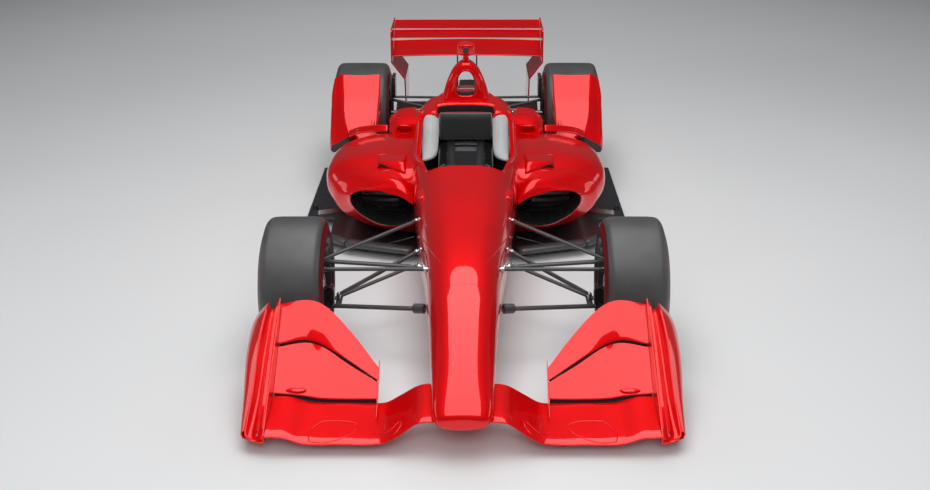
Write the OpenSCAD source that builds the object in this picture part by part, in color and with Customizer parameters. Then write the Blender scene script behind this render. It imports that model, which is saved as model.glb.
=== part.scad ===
// Open wheel single-seat racing car, facing -Y and standing on its four tyres.
// Stations along the car are measured rearwards from the front axle.

/* [Overall] */
// Distance between the front and the rear axle
wheelbase = 3050; // [3040:1:3060]
// Station of the front axle along the car
front_axle_y = -1475; // [-1480:1:-1470]
// Height of the flat underside above the ground
ride_height = 45; // [40:1:48]

/* [Wheels] */
// Outside radius of a front tyre
front_tyre_r = 328; // [326:1:330]
// Outside radius of a rear tyre
rear_tyre_r = 352; // [350:1:354]
// Greatest width of a front tyre
front_tyre_w = 305; // [300:1:308]
// Greatest width of a rear tyre
rear_tyre_w = 384; // [380:1:386]
// Distance between the middle planes of the front wheels
front_track = 1614; // [1610:1:1616]
// Distance between the middle planes of the rear wheels
rear_track = 1462; // [1460:1:1466]
// Radius of the bead seats on a rim
bead_r = 190; // [189:1:191]
// Radius of a brake disc
disc_r = 140; // [130:1:142]
// Radius of the hub shaft that turns in the upright
hub_r = 30; // [26:1:32]

/* [Steering] */
// Length of the steering arm from the kingpin to the tie rod
steer_arm = 90; // [88:1:92]
// Radius of a tie rod
tie_rod_r = 9; // [8:0.5:10]
// Diameter across the steering wheel's grips
steering_wheel_w = 280; // [260:5:290]

/* [Body] */
// Half width of the cockpit opening
cockpit_half_w = 256; // [250:1:258]
// Height of the camera pod's top
car_height = 1100; // [1095:1:1105]
// Half width of the floor at its widest
floor_half_w = 985; // [980:1:988]

/* [Wings] */
// Half span of the rear wing's planes
rear_wing_half = 556; // [550:1:558]
// Thickness of a wing endplate
endplate_t = 10; // [8:1:12]
// Half span at which the front wing's fences stand
front_fence_x = 822; // [818:1:826]

/* [Hidden] */
$fn = 48;

body_red = [0.80, 0.02, 0.02];
carbon = [0.06, 0.06, 0.07];
metal = [0.55, 0.56, 0.58];
rubber = [0.05, 0.05, 0.05];

ring_n = 24;
running = 0.08;
front_x = front_track / 2;
rear_x = rear_track / 2;
floor_t = 20;
floor_top = ride_height + floor_t;
body_base = floor_top;

// Kingpin of a front wheel, from the lower ball joint to the upper one
kp_low = [front_x - 95, -10, 220];
kp_high = [front_x - 107, 12, 446];
kp_dir = (kp_high - kp_low) / norm(kp_high - kp_low);
function kp_at(z) = kp_low + kp_dir * (z - kp_low[2]) / kp_dir[2];
tie_z = 438;
tie_pivot = kp_at(tie_z) - [0, steer_arm, 0];

// ---- helpers ----

// Moves a child from stations about the front axle into the car's own frame
module from_front_axle() {
    translate([0, front_axle_y, 0]) children();
}

module right_side() {
    mirror([1, 0, 0]) children();
}

function power(v, p) = sign(v) * pow(abs(v), p);

// Height on a rounded section at angle a, rounder or squarer above and below height zm
function round_z(a, z0, zm, z1, top, low) =
    a < 0 || a > 180 ? zm + (zm - z0) * power(sin(a), 2 / low) : zm + (z1 - zm) * power(sin(a), 2 / top);

// Closed ring at station y: half width w about x = cx, widest at zm, from z0 up to z1
function ring(y, w, z0, zm, z1, top, low, cx = 0) =
    [for (i = [0:ring_n - 1]) let (a = 360 * (i + 0.5) / ring_n, e = a < 180 ? top : low)
        [cx + w * power(cos(a), 2 / e), y, round_z(a, z0, zm, z1, top, low)]];

// Ring with a flat inner side at x0 and a rounded outer side at x1
function pod_ring(y, x0, x1, z0, zm, z1, top, low) =
    let (k = ring_n / 2 + 1)
    [for (i = [0:k]) let (a = -90 + 180 * i / k, e = a < 0 ? low : top)
        [x0 + (x1 - x0) * power(cos(a), 2 / e), y, round_z(a, z0, zm, z1, top, low)]];

// Ring of an arched shell of thickness t, open below
function arch_ring(y, w, z0, z1, e, t) =
    let (k = ring_n / 2)
    [for (i = [0:k]) let (a = 180 * i / k)
        [w * power(cos(a), 2 / e), y, z0 + (z1 - z0) * power(sin(a), 2 / e)],
     for (i = [k:-1:0]) let (a = 180 * i / k)
        [(w - t) * power(cos(a), 2 / e), y, z0 + (z1 - t - z0) * power(sin(a), 2 / e)]];

// Triangles that close one end ring as a ladder of quads
function ladder(n, base, far) =
    [for (i = [0:floor(n / 2) - 2])
        let (a = base + i, b = base + i + 1, c = base + n - 2 - i, d = base + n - 1 - i)
        each (far ? [[a, b, c], [a, c, d]] : [[a, c, b], [a, d, c]])];

// Closed solid through rings of equal point counts, skinned in order
module loft(rings) {
    n = len(rings[0]);
    m = len(rings);
    sides = [for (j = [0:m - 2], i = [0:n - 1])
        let (a = j * n + i, b = j * n + (i + 1) % n)
        each [[a, b, b + n], [a, b + n, a + n]]];
    polyhedron([for (r = rings) each r],
        concat(sides, ladder(n, 0, false), ladder(n, (m - 1) * n, true)));
}

// Aerofoil section at span x between a leading and a trailing edge point given as [y, z],
// with camber m and thickness t as fractions of the chord
foil_n = 9;
function foil_half(s, t) = 0.005 + 5 * t * (0.2969 * sqrt(s) - 0.126 * s - 0.3516 * s * s
    + 0.2843 * pow(s, 3) - 0.1036 * pow(s, 4));
function foil_point(x, le, te, m, t, s, side) =
    let (d = te - le, v = side * foil_half(s, t) - 4 * m * s * (1 - s))
    [x, le[0] + d[0] * s - d[1] * v, le[1] + d[1] * s + d[0] * v];
function foil(x, le, te, m, t) =
    [for (i = [0:foil_n]) let (s = (1 - cos(180 * i / foil_n)) / 2)
        foil_point(x, le, te, m, t, s, 1),
     for (i = [foil_n:-1:0]) let (s = (1 - cos(180 * i / foil_n)) / 2)
        foil_point(x, le, te, m, t, s, -1)];

// Places a child's local z axis along the line from a to b
module along(a, b) {
    d = b - a;
    translate(a) rotate([0, acos(d[2] / norm(d)), atan2(d[1], d[0])]) children();
}

module rod(a, b, r) {
    along(a, b) cylinder(h = norm(b - a), r = r);
}

// Streamlined suspension leg, flat side level
module leg(a, b, chord, thick) {
    along(a, b) linear_extrude(norm(b - a))
        polygon([for (i = [0:15]) [thick / 2 * cos(22.5 * i), chord / 2 * sin(22.5 * i)]]);
}

// Turns a child drawn along z so that it lies along x
module on_axle(x, y, z) {
    translate([x, y, z]) rotate([0, 90, 0]) children();
}

// Plate drawn in the y-z plane, from x0 to x1
module side_plate(x0, x1) {
    translate([x0, 0, 0]) rotate([90, 0, 90]) linear_extrude(x1 - x0) children();
}

// ---- chassis ----

// Tub sections: station, half width, underside, widest height, top, roundness above and below
tub_shape = [[-330, 168, 165, 330, 470, 2.6, 2.6], [-100, 186, 150, 345, 525, 2.6, 2.6],
    [150, 213, 130, 360, 564, 2.6, 2.6], [450, 242, 105, 370, 603, 2.7, 2.8],
    [750, 266, 85, 380, 630, 2.8, 3], [900, 279, 72, 390, 644, 3, 3.4],
    [1150, 296, 66, 400, 668, 3.6, 5], [1450, 302, 66, 420, 705, 4.2, 6],
    [1750, 302, 66, 440, 745, 4.2, 6], [1955, 302, 66, 440, 768, 3.8, 6]];
cavity_shape = [[-250, 140, 195, 320, 445, 2.8, 2.8], [-100, 158, 180, 330, 495, 2.8, 2.8],
    [450, 212, 135, 350, 572, 2.8, 2.8], [900, 250, 100, 380, 614, 3.2, 3.2],
    [1450, 276, 96, 400, 672, 4, 4], [1780, 276, 96, 400, 706, 4, 4]];

module section_loft(shape) {
    loft([for (s = shape) ring(s[0], s[1], s[2], s[3], s[4], s[5], s[6])]);
}

// Left half of the cockpit opening from its blunt front edge, in plan
cockpit_front = [[150, 898], [190, 903], [205, 920], [214, 960], [230, 1045],
    [cockpit_half_w - 10, 1125], [cockpit_half_w - 2, 1200], [cockpit_half_w, 1320]];

// The whole opening in plan, rounded behind the head
function cockpit_outline() =
    concat([for (a = [0:10:180]) [cockpit_half_w * power(cos(a), 2 / 3), 1640 + 130 * power(sin(a), 2 / 3)]],
        [for (i = [len(cockpit_front) - 1:-1:0]) [-cockpit_front[i][0], cockpit_front[i][1]]],
        cockpit_front);

module tub() {
    color(body_red) from_front_axle() difference() {
        section_loft(tub_shape);
        section_loft(cavity_shape);
        translate([0, 0, 540]) linear_extrude(300) polygon(cockpit_outline());
        on_axle(-300, tie_pivot[1], tie_z) cylinder(h = 600, r = tie_rod_r + 7);
    }
}

nose_shape = [[-1085, 62, 152, 176, 202, 2.2, 2.2], [-1075, 96, 138, 180, 221, 2.3, 2.3],
    [-1050, 117, 126, 184, 239, 2.4, 2.4], [-1000, 128, 119, 192, 261, 2.4, 2.5],
    [-850, 136, 118, 215, 321, 2.4, 2.6], [-650, 147, 130, 260, 386, 2.5, 2.6],
    [-500, 157, 146, 295, 428, 2.5, 2.6], [-330, 168, 165, 330, 470, 2.6, 2.6]];

module nose_solid() {
    section_loft(nose_shape);
}

module nose_cone() {
    color(body_red) from_front_axle() nose_solid();
}

function arch_outline(w, z0, z1, e) = [for (i = [0:24]) let (a = 180 * i / 24)
    [w * power(cos(a), 2 / e), z0 + (z1 - z0) * power(sin(a), 2 / e)]];

module roll_hoop() {
    color(body_red) from_front_axle() difference() {
        translate([0, 1955, 0]) rotate([90, 0, 0]) linear_extrude(105) difference() {
            intersection() {
                polygon(arch_outline(162, 560, 996, 2));
                translate([-200, 700]) square([400, 400]);
            }
            polygon(arch_outline(54, 790, 934, 2.4));
        }
        section_loft(tub_shape);
    }
}

module camera_pod() {
    color(body_red) from_front_axle() translate([0, 1903, 0]) {
        translate([0, 0, 997]) cylinder(h = 34, r = 18);
        translate([0, 0, car_height - 70]) cylinder(h = 70, r = 52);
    }
}

// Engine cover sections: station, half width, lower edge, top, roundness
cover_shape = [[1956, 300, 85, 768, 3.4], [2150, 300, 85, 752, 3.2], [2350, 298, 85, 706, 2.8],
    [2560, 286, 85, 632, 2.5], [2700, 254, 300, 590, 2.4], [2790, 228, 454, 566, 2.4],
    [3050, 165, 454, 528, 2.4], [3250, 122, 454, 502, 2.4]];

module engine_cover() {
    color(body_red) from_front_axle()
        loft([for (s = cover_shape) arch_ring(s[0], s[1], s[2], s[3], s[4], 12)]);
}

// Sidepod sections: station, outer edge, underside, widest height, top, roundness
pod_shape = [[1150, 690, 150, 280, 404, 3.6, 2.6], [1235, 742, 110, 275, 442, 2.6, 2.4],
    [1350, 782, 84, 295, 488, 2.5, 2], [1500, 828, 72, 330, 522, 2.6, 2],
    [1600, 843, 68, 348, 530, 2.6, 2.1], [1850, 836, 66, 350, 526, 2.6, 2.3],
    [2080, 798, 66, 330, 488, 2.6, 2.6], [2250, 764, 66, 290, 425, 2.8, 2.8],
    [2252, 572, 66, 280, 436, 3.2, 3], [2500, 480, 66, 270, 400, 2.8, 3],
    [2720, 400, 66, 240, 350, 2.6, 3]];
pod_in = 304;
// Raised shoulder with the hot air louvres, in the same terms
shoulder_shape = [[1960, 462, 300, 470, 574, 4, 3], [2050, 486, 300, 480, 606, 4, 3],
    [2200, 496, 300, 470, 600, 4, 3], [2400, 478, 290, 430, 556, 4, 3],
    [2560, 440, 270, 390, 508, 3.6, 3], [2700, 396, 250, 350, 440, 3.2, 3]];

// The front of a pod is swept back towards its outer edge, fading out behind pod_sweep_end
pod_sweep = 0.25;
pod_sweep_end = 1500;
function swept(p) = [p[0], p[1] + max(0, pod_sweep * (p[0] - pod_in)
    * (pod_sweep_end - p[1]) / (pod_sweep_end - pod_shape[0][0])), p[2]];

module pod_loft(shape) {
    loft([for (s = shape) [for (p = pod_ring(s[0], pod_in, s[1], s[2], s[3], s[4], s[5], s[6])) swept(p)]]);
}

module sidepod_left() {
    color(body_red) from_front_axle() difference() {
        union() {
            pod_loft(pod_shape);
            pod_loft(shoulder_shape);
        }
        loft([for (r = [ring(1060, 176, 190, 287, 384, 2.3, 2.3, 490), ring(1300, 166, 188, 288, 388, 2.4, 2.4, 494),
            ring(1470, 150, 184, 290, 398, 2.6, 2.6, 505)]) [for (p = r) swept(p)]]);
    }
}

module sidepod_right() {
    right_side() sidepod_left();
}

module radiator_left() {
    color(carbon) from_front_axle() translate([400, 1420, 215]) cube([210, 34, 140]);
}

module radiator_right() {
    right_side() radiator_left();
}

// Ramp that lifts the air over a rear tyre. Sections: station, inner edge and its height,
// ridge and its height, outer edge, its height and its lower edge
ramp_shape = [[2254, 580, 405, 764, 398, 890, 352, 300], [2400, 586, 478, 812, 486, 906, 452, 310],
    [2490, 586, 530, 824, 536, 912, 512, 318], [2600, 584, 634, 834, 636, 914, 616, 330],
    [2680, 582, 718, 841, 718, 902, 698, 340]];

function ramp_ring(s) = [[s[1], s[0], body_base], [s[3] - 30, s[0], body_base], [s[3] - 20, s[0], s[7]],
    [s[5] - 6, s[0], s[7]], [s[5], s[0], s[6]], [s[3], s[0], s[4]],
    [(s[1] + s[3]) / 2, s[0], (s[2] + s[4]) / 2 - 4], [s[1], s[0], s[2]]];

module wheel_ramp_left() {
    color(body_red) from_front_axle() loft([for (s = ramp_shape) ramp_ring(s)]);
}

module wheel_ramp_right() {
    right_side() wheel_ramp_left();
}

floor_half = [[0, 1000], [280, 1080], [430, 1130], [700, 1215], [806, 1300], [815, 1650],
    [floor_half_w, 1664], [floor_half_w, 2660], [540, 2670], [540, 2720], [0, 2720]];

module floor() {
    color(carbon) from_front_axle() translate([0, 0, ride_height]) linear_extrude(floor_t)
        polygon(concat(floor_half, [for (i = [len(floor_half) - 2:-1:1])
            [-floor_half[i][0], floor_half[i][1]]]));
}

module diffuser() {
    roof = [[2722, ride_height], [2722, floor_top], [2950, 100], [3250, 190], [3560, 300],
        [3560, 290], [3250, 178], [2950, 86]];
    fence = [[2722, ride_height], [3560, 150], [3560, 290], [3250, 178], [2950, 86]];
    color(carbon) from_front_axle() {
        side_plate(-530, 530) polygon(roof);
        for (x = [-530, -350, -170, 162, 342, 522]) side_plate(x, x + 8) polygon(fence);
    }
}

// ---- cockpit ----

// Horseshoe pad round the driver's head, fitted to the opening
module headrest() {
    profile = [[1246, 545], [1246, 562], [1655, 724], [1735, 732], [1748, 715], [1748, 545]];
    color([0.25, 0.25, 0.27]) from_front_axle() intersection() {
        side_plate(-cockpit_half_w, cockpit_half_w) polygon(profile);
        linear_extrude(800) difference() {
            offset(delta = -1) polygon(cockpit_outline());
            translate([-174, 900]) square([348, 756]);
        }
    }
}

module seat() {
    profile = [[1060, 148], [1240, 144], [1420, 148], [1560, 206], [1700, 430], [1752, 540],
        [1774, 540], [1774, 405], [1620, 165], [1460, 126], [1060, 132]];
    color(carbon) from_front_axle() side_plate(-170, 170) polygon(profile);
}

// The column slopes up towards the driver
column_tilt = 12;
steering_hub = [0, 1030, 540];
column_dir = [0, cos(column_tilt), sin(column_tilt)];

module dashboard() {
    color(carbon) from_front_axle() {
        translate([-180, 900, 490]) cube([360, 20, 70]);
        rod(steering_hub - 115 * column_dir, steering_hub, 12);
    }
}

module steering_wheel() {
    w = steering_wheel_w / 2;
    yoke = [[-w, -60], [-w + 30, -72], [-w + 48, -40], [w - 48, -40], [w - 30, -72], [w, -60],
        [w, 48], [w - 26, 66], [w - 52, 44], [52 - w, 44], [26 - w, 66], [-w, 48]];
    color(carbon) from_front_axle() translate(steering_hub) rotate([column_tilt, 0, 0]) {
        translate([0, 30, 0]) rotate([90, 0, 0]) linear_extrude(26) polygon(yoke);
        translate([0, 4.5, 0]) rotate([90, 0, 0]) cylinder(h = 2.5, r = 30);
    }
}

// ---- front suspension and steering ----

module kp_frame(z) {
    translate(kp_at(z)) rotate([0, acos(kp_dir[2]), atan2(kp_dir[1], kp_dir[0])])
        rotate([0, 0, -atan2(kp_dir[1], kp_dir[0])]) children();
}

module front_suspension_left() {
    high = kp_at(446);
    low = kp_at(220);
    color(carbon) from_front_axle() {
        difference() {
            union() {
                kp_frame(446) translate([0, 0, -9]) cylinder(h = 18, r = 17);
                leg(high, [186, -50, 437], 34, 18);
                leg(high, [226, 421, 509], 30, 16);
            }
            kp_frame(446) translate([0, 0, -30]) cylinder(h = 60, r = 8 + running);
        }
        difference() {
            union() {
                kp_frame(220) translate([0, 0, -9]) cylinder(h = 18, r = 17);
                leg(low, [184, -195, 284], 34, 18);
                leg(low, [240, 326, 300], 30, 16);
                translate([597, -50, 226]) cube([30, 116, 12]);
                rod([612, 18, 232], [612, 18, 264], 9);
                rod([612, 18, 264], [207, 148, 452], 11);
            }
            kp_frame(220) translate([0, 0, -30]) cylinder(h = 60, r = 8 + running);
        }
    }
}

module front_suspension_right() {
    right_side() front_suspension_left();
}

module front_knuckle_left() {
    color(metal) from_front_axle() difference() {
        union() {
            on_axle(front_x - 128, 0, front_tyre_r) cylinder(h = 42, r = 54);
            kp_frame(236) cylinder(h = 193, r = 20);
            kp_frame(206) cylinder(h = 252, r = 8);
            translate(kp_at(418) + [-14, -steer_arm - 12, -6]) cube([28, steer_arm + 12, 12]);
            translate([tie_pivot[0], tie_pivot[1], 420]) cylinder(h = 28, r = 5);
            translate([front_x - 96, 98, front_tyre_r - 60]) cube([68, 46, 120]);
            translate([front_x - 110, 30, front_tyre_r - 30]) cube([24, 80, 60]);
        }
        on_axle(front_x - 140, 0, front_tyre_r) cylinder(h = 80, r = hub_r + running);
        on_axle(front_x - 76, 0, front_tyre_r) cylinder(h = 40, r = disc_r + 6);
    }
}

module front_knuckle_right() {
    right_side() front_knuckle_left();
}

module front_brake_duct_left() {
    color(carbon) from_front_axle() translate([front_x - 160, -150, 250]) difference() {
        cube([26, 90, 130]);
        translate([5, -1, 5]) cube([16, 80, 120]);
    }
}

module front_brake_duct_right() {
    right_side() front_brake_duct_left();
}

module steering_rack() {
    x = tie_pivot[0];
    color(metal) from_front_axle() difference() {
        union() {
            on_axle(-x, tie_pivot[1], tie_z) cylinder(h = 2 * x, r = tie_rod_r);
            on_axle(-130, tie_pivot[1], tie_z) cylinder(h = 260, r = 14);
            for (s = [-1, 1]) translate([s * x, tie_pivot[1], tie_z - 7])
                cylinder(h = 14, r = 19);
        }
        for (s = [-1, 1]) translate([s * x, tie_pivot[1], tie_z - 10])
            cylinder(h = 20, r = 12);
    }
}

// ---- rear suspension and drive ----

rear_pin_x = rear_x - 95;
toe_pin = [rear_pin_x, 95, 262];

// Wishbone of two legs from an eye at height z on the upright's pin
module wishbone(z, front, rear) {
    difference() {
        union() {
            translate([rear_pin_x, 0, z - 11]) cylinder(h = 22, r = 20);
            leg([rear_pin_x, 0, z], front, 34, 18);
            leg([rear_pin_x, 0, z], rear, 30, 16);
            children();
        }
        translate([rear_pin_x, 0, z - 30]) cylinder(h = 60, r = 8 + running);
    }
}

module rear_suspension_left() {
    color(carbon) from_front_axle() translate([0, wheelbase, 0]) {
        wishbone(470, [118, -220, 418], [118, 170, 418]);
        wishbone(215, [119, -270, 190], [118, 130, 190]) {
            translate([585, -42, 206]) cube([30, 62, 12]);
            rod([600, -30, 212], [118, -120, 425], 11);
        }
        difference() {
            union() {
                translate(toe_pin - [0, 0, 7]) cylinder(h = 14, r = 14);
                leg(toe_pin, [114, 220, 215], 24, 14);
            }
            translate(toe_pin - [0, 0, 10]) cylinder(h = 20, r = 6 + running);
        }
    }
}

module rear_suspension_right() {
    right_side() rear_suspension_left();
}

module rear_upright_left() {
    color(metal) from_front_axle() translate([0, wheelbase, 0]) difference() {
        union() {
            on_axle(rear_x - 128, 0, rear_tyre_r) cylinder(h = 42, r = 58);
            translate([rear_pin_x - 14, -22, 228]) cube([28, 44, 229]);
            translate([rear_pin_x, 0, 200]) cylinder(h = 285, r = 8);
            translate([rear_pin_x - 14, 0, 232]) cube([28, 108, 18]);
            translate([toe_pin[0], toe_pin[1], 232]) cylinder(h = 44, r = 6);
            translate([rear_x - 96, 98, rear_tyre_r - 60]) cube([68, 46, 120]);
            translate([rear_x - 110, 30, rear_tyre_r - 30]) cube([24, 80, 60]);
        }
        on_axle(rear_x - 140, 0, rear_tyre_r) cylinder(h = 80, r = hub_r + running);
        on_axle(rear_x - 76, 0, rear_tyre_r) cylinder(h = 40, r = disc_r + 6);
    }
}

module rear_upright_right() {
    right_side() rear_upright_left();
}

module driveshaft_left() {
    color(metal) from_front_axle() {
        on_axle(130, wheelbase, rear_tyre_r) cylinder(h = 50, r = 42);
        on_axle(170, wheelbase, rear_tyre_r) cylinder(h = rear_x - 360, r = 15);
        on_axle(rear_x - 190, wheelbase, rear_tyre_r) cylinder(h = 50, r = 42);
    }
}

module driveshaft_right() {
    right_side() driveshaft_left();
}

module engine() {
    color(metal) from_front_axle() translate([-190, 1970, 110]) cube([380, 590, 370]);
}

module gearbox() {
    profile = [[2562, 110], [2562, 480], [2900, 440], [3300, 440], [3500, 400], [3500, 310],
        [2900, 110]];
    color(metal) from_front_axle() {
        side_plate(-110, 110) polygon(profile);
        for (s = [-1, 1]) on_axle(s * 105 - 12, wheelbase, rear_tyre_r) cylinder(h = 24, r = 50);
    }
}

module rear_attenuator() {
    profile = [[3502, 312], [3502, 398], [3900, 385], [3900, 325]];
    color(carbon) from_front_axle() difference() {
        side_plate(-65, 65) polygon(profile);
        translate([0, 3901, 355]) rotate([90, 0, 0]) cylinder(h = 61, r = 16);
    }
}

// ---- wings ----

// Main plane sections on one side: span, leading edge and trailing edge as [station, height]
main_shape = [[0, [-1005, 132], [-745, 168]], [115, [-1042, 156], [-768, 190]],
    [188, [-1050, 152], [-768, 182]], [267, [-1052, 96], [-768, 136]], [340, [-1054, 60], [-766, 96]],
    [520, [-1054, 56], [-766, 94]], [660, [-1054, 58], [-766, 98]], [745, [-1052, 84], [-768, 124]],
    [front_fence_x, [-1050, 88], [-768, 128]]];

module front_wing_main() {
    mirrored = [for (j = [len(main_shape) - 1:-1:1]) let (s = main_shape[j])
        foil(-s[0], s[1], s[2], 0.02, 0.07)];
    color(body_red) from_front_axle() difference() {
        loft(concat(mirrored, [for (s = main_shape) foil(s[0], s[1], s[2], 0.02, 0.07)]));
        nose_solid();
    }
}

// Flap sections: span, leading edge and trailing edge as [station, height]
flap_one = [[372, [-762, 110], [-708, 164]], [500, [-762, 108], [-640, 214]],
    [620, [-762, 112], [-565, 262]], [700, [-762, 126], [-536, 272]],
    [front_fence_x, [-762, 138], [-566, 266]]];
flap_two = [[372, [-700, 176], [-660, 212]], [471, [-645, 222], [-545, 292]],
    [569, [-590, 262], [-460, 368]], [645, [-548, 284], [-418, 412]], [716, [-530, 290], [-412, 426]],
    [front_fence_x, [-560, 282], [-420, 408]]];

module front_flaps_left() {
    color(body_red) from_front_axle() for (flap = [flap_one, flap_two])
        loft([for (s = flap) foil(s[0], s[1], s[2], 0.05, 0.06)]);
}

module front_flaps_right() {
    right_side() front_flaps_left();
}

// Outer vane: station, foot, widest point, top edge and its height
vane_shape = [[-1005, 922, 928, 918, 92], [-850, 912, 938, 892, 205], [-650, 915, 955, 878, 335],
    [-500, 920, 962, 862, 398], [-425, 922, 964, 862, 408]];

function vane_ring(y, foot, wide, top, z1, t) =
    let (k = 8)
    [for (i = [0:k]) let (u = i / k, bow = 4 * u * (1 - u))
        [foot + (top - foot) * u + (wide - (foot + top) / 2) * bow, y,
            ride_height + 5 + (z1 - ride_height - 5) * u],
     for (i = [k:-1:0]) let (u = i / k, bow = 4 * u * (1 - u))
        [foot + (top - foot) * u + (wide - (foot + top) / 2) * bow - t, y,
            ride_height + 5 + (z1 - ride_height - 5) * u]];

module front_endplate_left() {
    fence = [[-1050, ride_height + 5], [-1050, 95], [-420, 438], [-420, ride_height + 5]];
    color(body_red) from_front_axle() {
        side_plate(front_fence_x + 1, front_fence_x + 7) polygon(fence);
        translate([0, 0, ride_height + 5]) linear_extrude(8) polygon([[front_fence_x + 1, -1050],
            [918, -1005], [910, -850], [916, -425], [front_fence_x + 1, -425]]);
        loft([for (s = vane_shape) vane_ring(s[0], s[1], s[2], s[3], s[4], 8)]);
    }
}

module front_endplate_right() {
    right_side() front_endplate_left();
}

// Full-span plane between the rear endplates, its middle raised by lift
module rear_plane(le, te, lift, t) {
    loft([for (i = [-4:4]) let (up = [0, lift * (1 - pow(i / 4, 2))])
        foil(rear_wing_half * i / 4, le + up, te + up, 0.07, t)]);
}

module rear_wing_main() {
    color(body_red) from_front_axle() rear_plane([3590, 636], [3786, 716], 12, 0.1);
}

module rear_wing_flaps() {
    color(body_red) from_front_axle() {
        rear_plane([3778, 736], [3882, 778], 2, 0.1);
        rear_plane([3870, 790], [3976, 838], 0, 0.1);
    }
}

module rear_endplate_left() {
    x = rear_wing_half + 1;
    foot = 461;
    t = endplate_t;
    color(body_red) from_front_axle() intersection() {
        translate([0, 4035, 0]) rotate([90, 0, 0]) linear_extrude(495)
            polygon([[x, 842], [x, 600], [foot, 474], [foot, 240], [foot + t, 240],
                [foot + t, 470], [x + t, 596], [x + t, 842]]);
        side_plate(foot - 1, x + t + 1) polygon([[3540, 480], [3540, 830], [3552, 842],
            [4035, 842], [4035, 240], [3640, 240]]);
    }
}

module rear_endplate_right() {
    right_side() rear_endplate_left();
}

module rear_wing_pylons() {
    color(carbon) from_front_axle() for (s = [-1, 1]) side_plate(s * 72 - 5, s * 72 + 5)
        polygon([[3540, 330], [3600, 636], [3720, 655], [3690, 330]]);
}

// ---- wheels, drawn with their outboard side towards +x ----

module tyre_at(x, y, r, w) {
    bead = w / 2 - 25;
    shoulder = [for (a = [0:15:90]) [r - 30 + 30 * cos(a), w / 2 - 42 + 30 * sin(a)]];
    side = [[r - 55, w / 2 - 4], [r - 80, w / 2], [r - 105, w / 2 - 3], [bead_r + 14, bead], [bead_r, bead],
        [bead_r, bead - 16], [r - 60, w / 2 - 28], [r - 20, w / 2 - 60]];
    half = concat(shoulder, side);
    color(rubber) on_axle(x, y, r) rotate_extrude($fn = 96)
        polygon(concat(half, [for (i = [len(half) - 1:-1:0]) [half[i][0], -half[i][1]]]));
}

module rim_at(x, y, r, w, hub_in) {
    bead = w / 2 - 25;
    edge = bead + 12;
    barrel = [[bead_r - 12, -edge], [bead_r + 13, -edge], [bead_r + 13, -bead - 0.2],
        [bead_r - 0.2, -bead - 0.2], [bead_r - 0.2, -bead + 25], [bead_r - 14, -bead + 50],
        [bead_r - 14, bead - 50], [bead_r - 0.2, bead - 25], [bead_r - 0.2, bead + 0.2],
        [bead_r + 13, bead + 0.2], [bead_r + 13, edge], [bead_r - 12, edge],
        [bead_r - 24, bead - 55], [bead_r - 24, -bead + 55]];
    face = bead - 60;
    color(metal) on_axle(x, y, r) {
        rotate_extrude($fn = 96) polygon(barrel);
        for (i = [0:9]) rotate([0, 0, 36 * i]) translate([35, -11, face]) cube([136, 22, 18]);
        translate([0, 0, face - 12]) cylinder(h = 34, r = 62);
        translate([0, 0, face + 20]) cylinder(h = 30, r = 36, $fn = 6);
        translate([0, 0, hub_in]) cylinder(h = face - hub_in, r = hub_r);
        translate([0, 0, -68]) cylinder(h = 26, r = disc_r);
    }
}

module front_tyre_left() {
    from_front_axle() tyre_at(front_x, 0, front_tyre_r, front_tyre_w);
}

module front_tyre_right() {
    right_side() front_tyre_left();
}

module rear_tyre_left() {
    from_front_axle() tyre_at(rear_x, wheelbase, rear_tyre_r, rear_tyre_w);
}

module rear_tyre_right() {
    right_side() rear_tyre_left();
}

module front_rim_left() {
    from_front_axle() rim_at(front_x, 0, front_tyre_r, front_tyre_w, -126);
}

module front_rim_right() {
    right_side() front_rim_left();
}

module rear_rim_left() {
    from_front_axle() rim_at(rear_x, wheelbase, rear_tyre_r, rear_tyre_w, -140);
}

module rear_rim_right() {
    right_side() rear_rim_left();
}

tub();
nose_cone();
front_wing_main();
front_flaps_left();
front_flaps_right();
front_endplate_left();
front_endplate_right();
sidepod_left();
sidepod_right();
radiator_left();
radiator_right();
engine_cover();
roll_hoop();
camera_pod();
floor();
diffuser();
wheel_ramp_left();
wheel_ramp_right();
headrest();
seat();
dashboard();
steering_wheel();
steering_rack();
front_suspension_left();
front_suspension_right();
front_knuckle_left();
front_knuckle_right();
front_brake_duct_left();
front_brake_duct_right();
rear_suspension_left();
rear_suspension_right();
rear_upright_left();
rear_upright_right();
engine();
gearbox();
rear_attenuator();
rear_wing_main();
rear_wing_flaps();
rear_endplate_left();
rear_endplate_right();
rear_wing_pylons();
driveshaft_left();
driveshaft_right();
front_tyre_left();
front_tyre_right();
rear_tyre_left();
rear_tyre_right();
front_rim_left();
front_rim_right();
rear_rim_left();
rear_rim_right();
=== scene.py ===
# %% [markdown]
# # An open wheel racing car, dressed in Blender
# The car's real sizes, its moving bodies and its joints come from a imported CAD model. This script loads
# that model as a fixed frame and builds the looks around it: smooth painted bodywork, carbon, rubber and
# machined metal. Each piece rides on a body of the frame, so that it moves when a joint moves.

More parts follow.
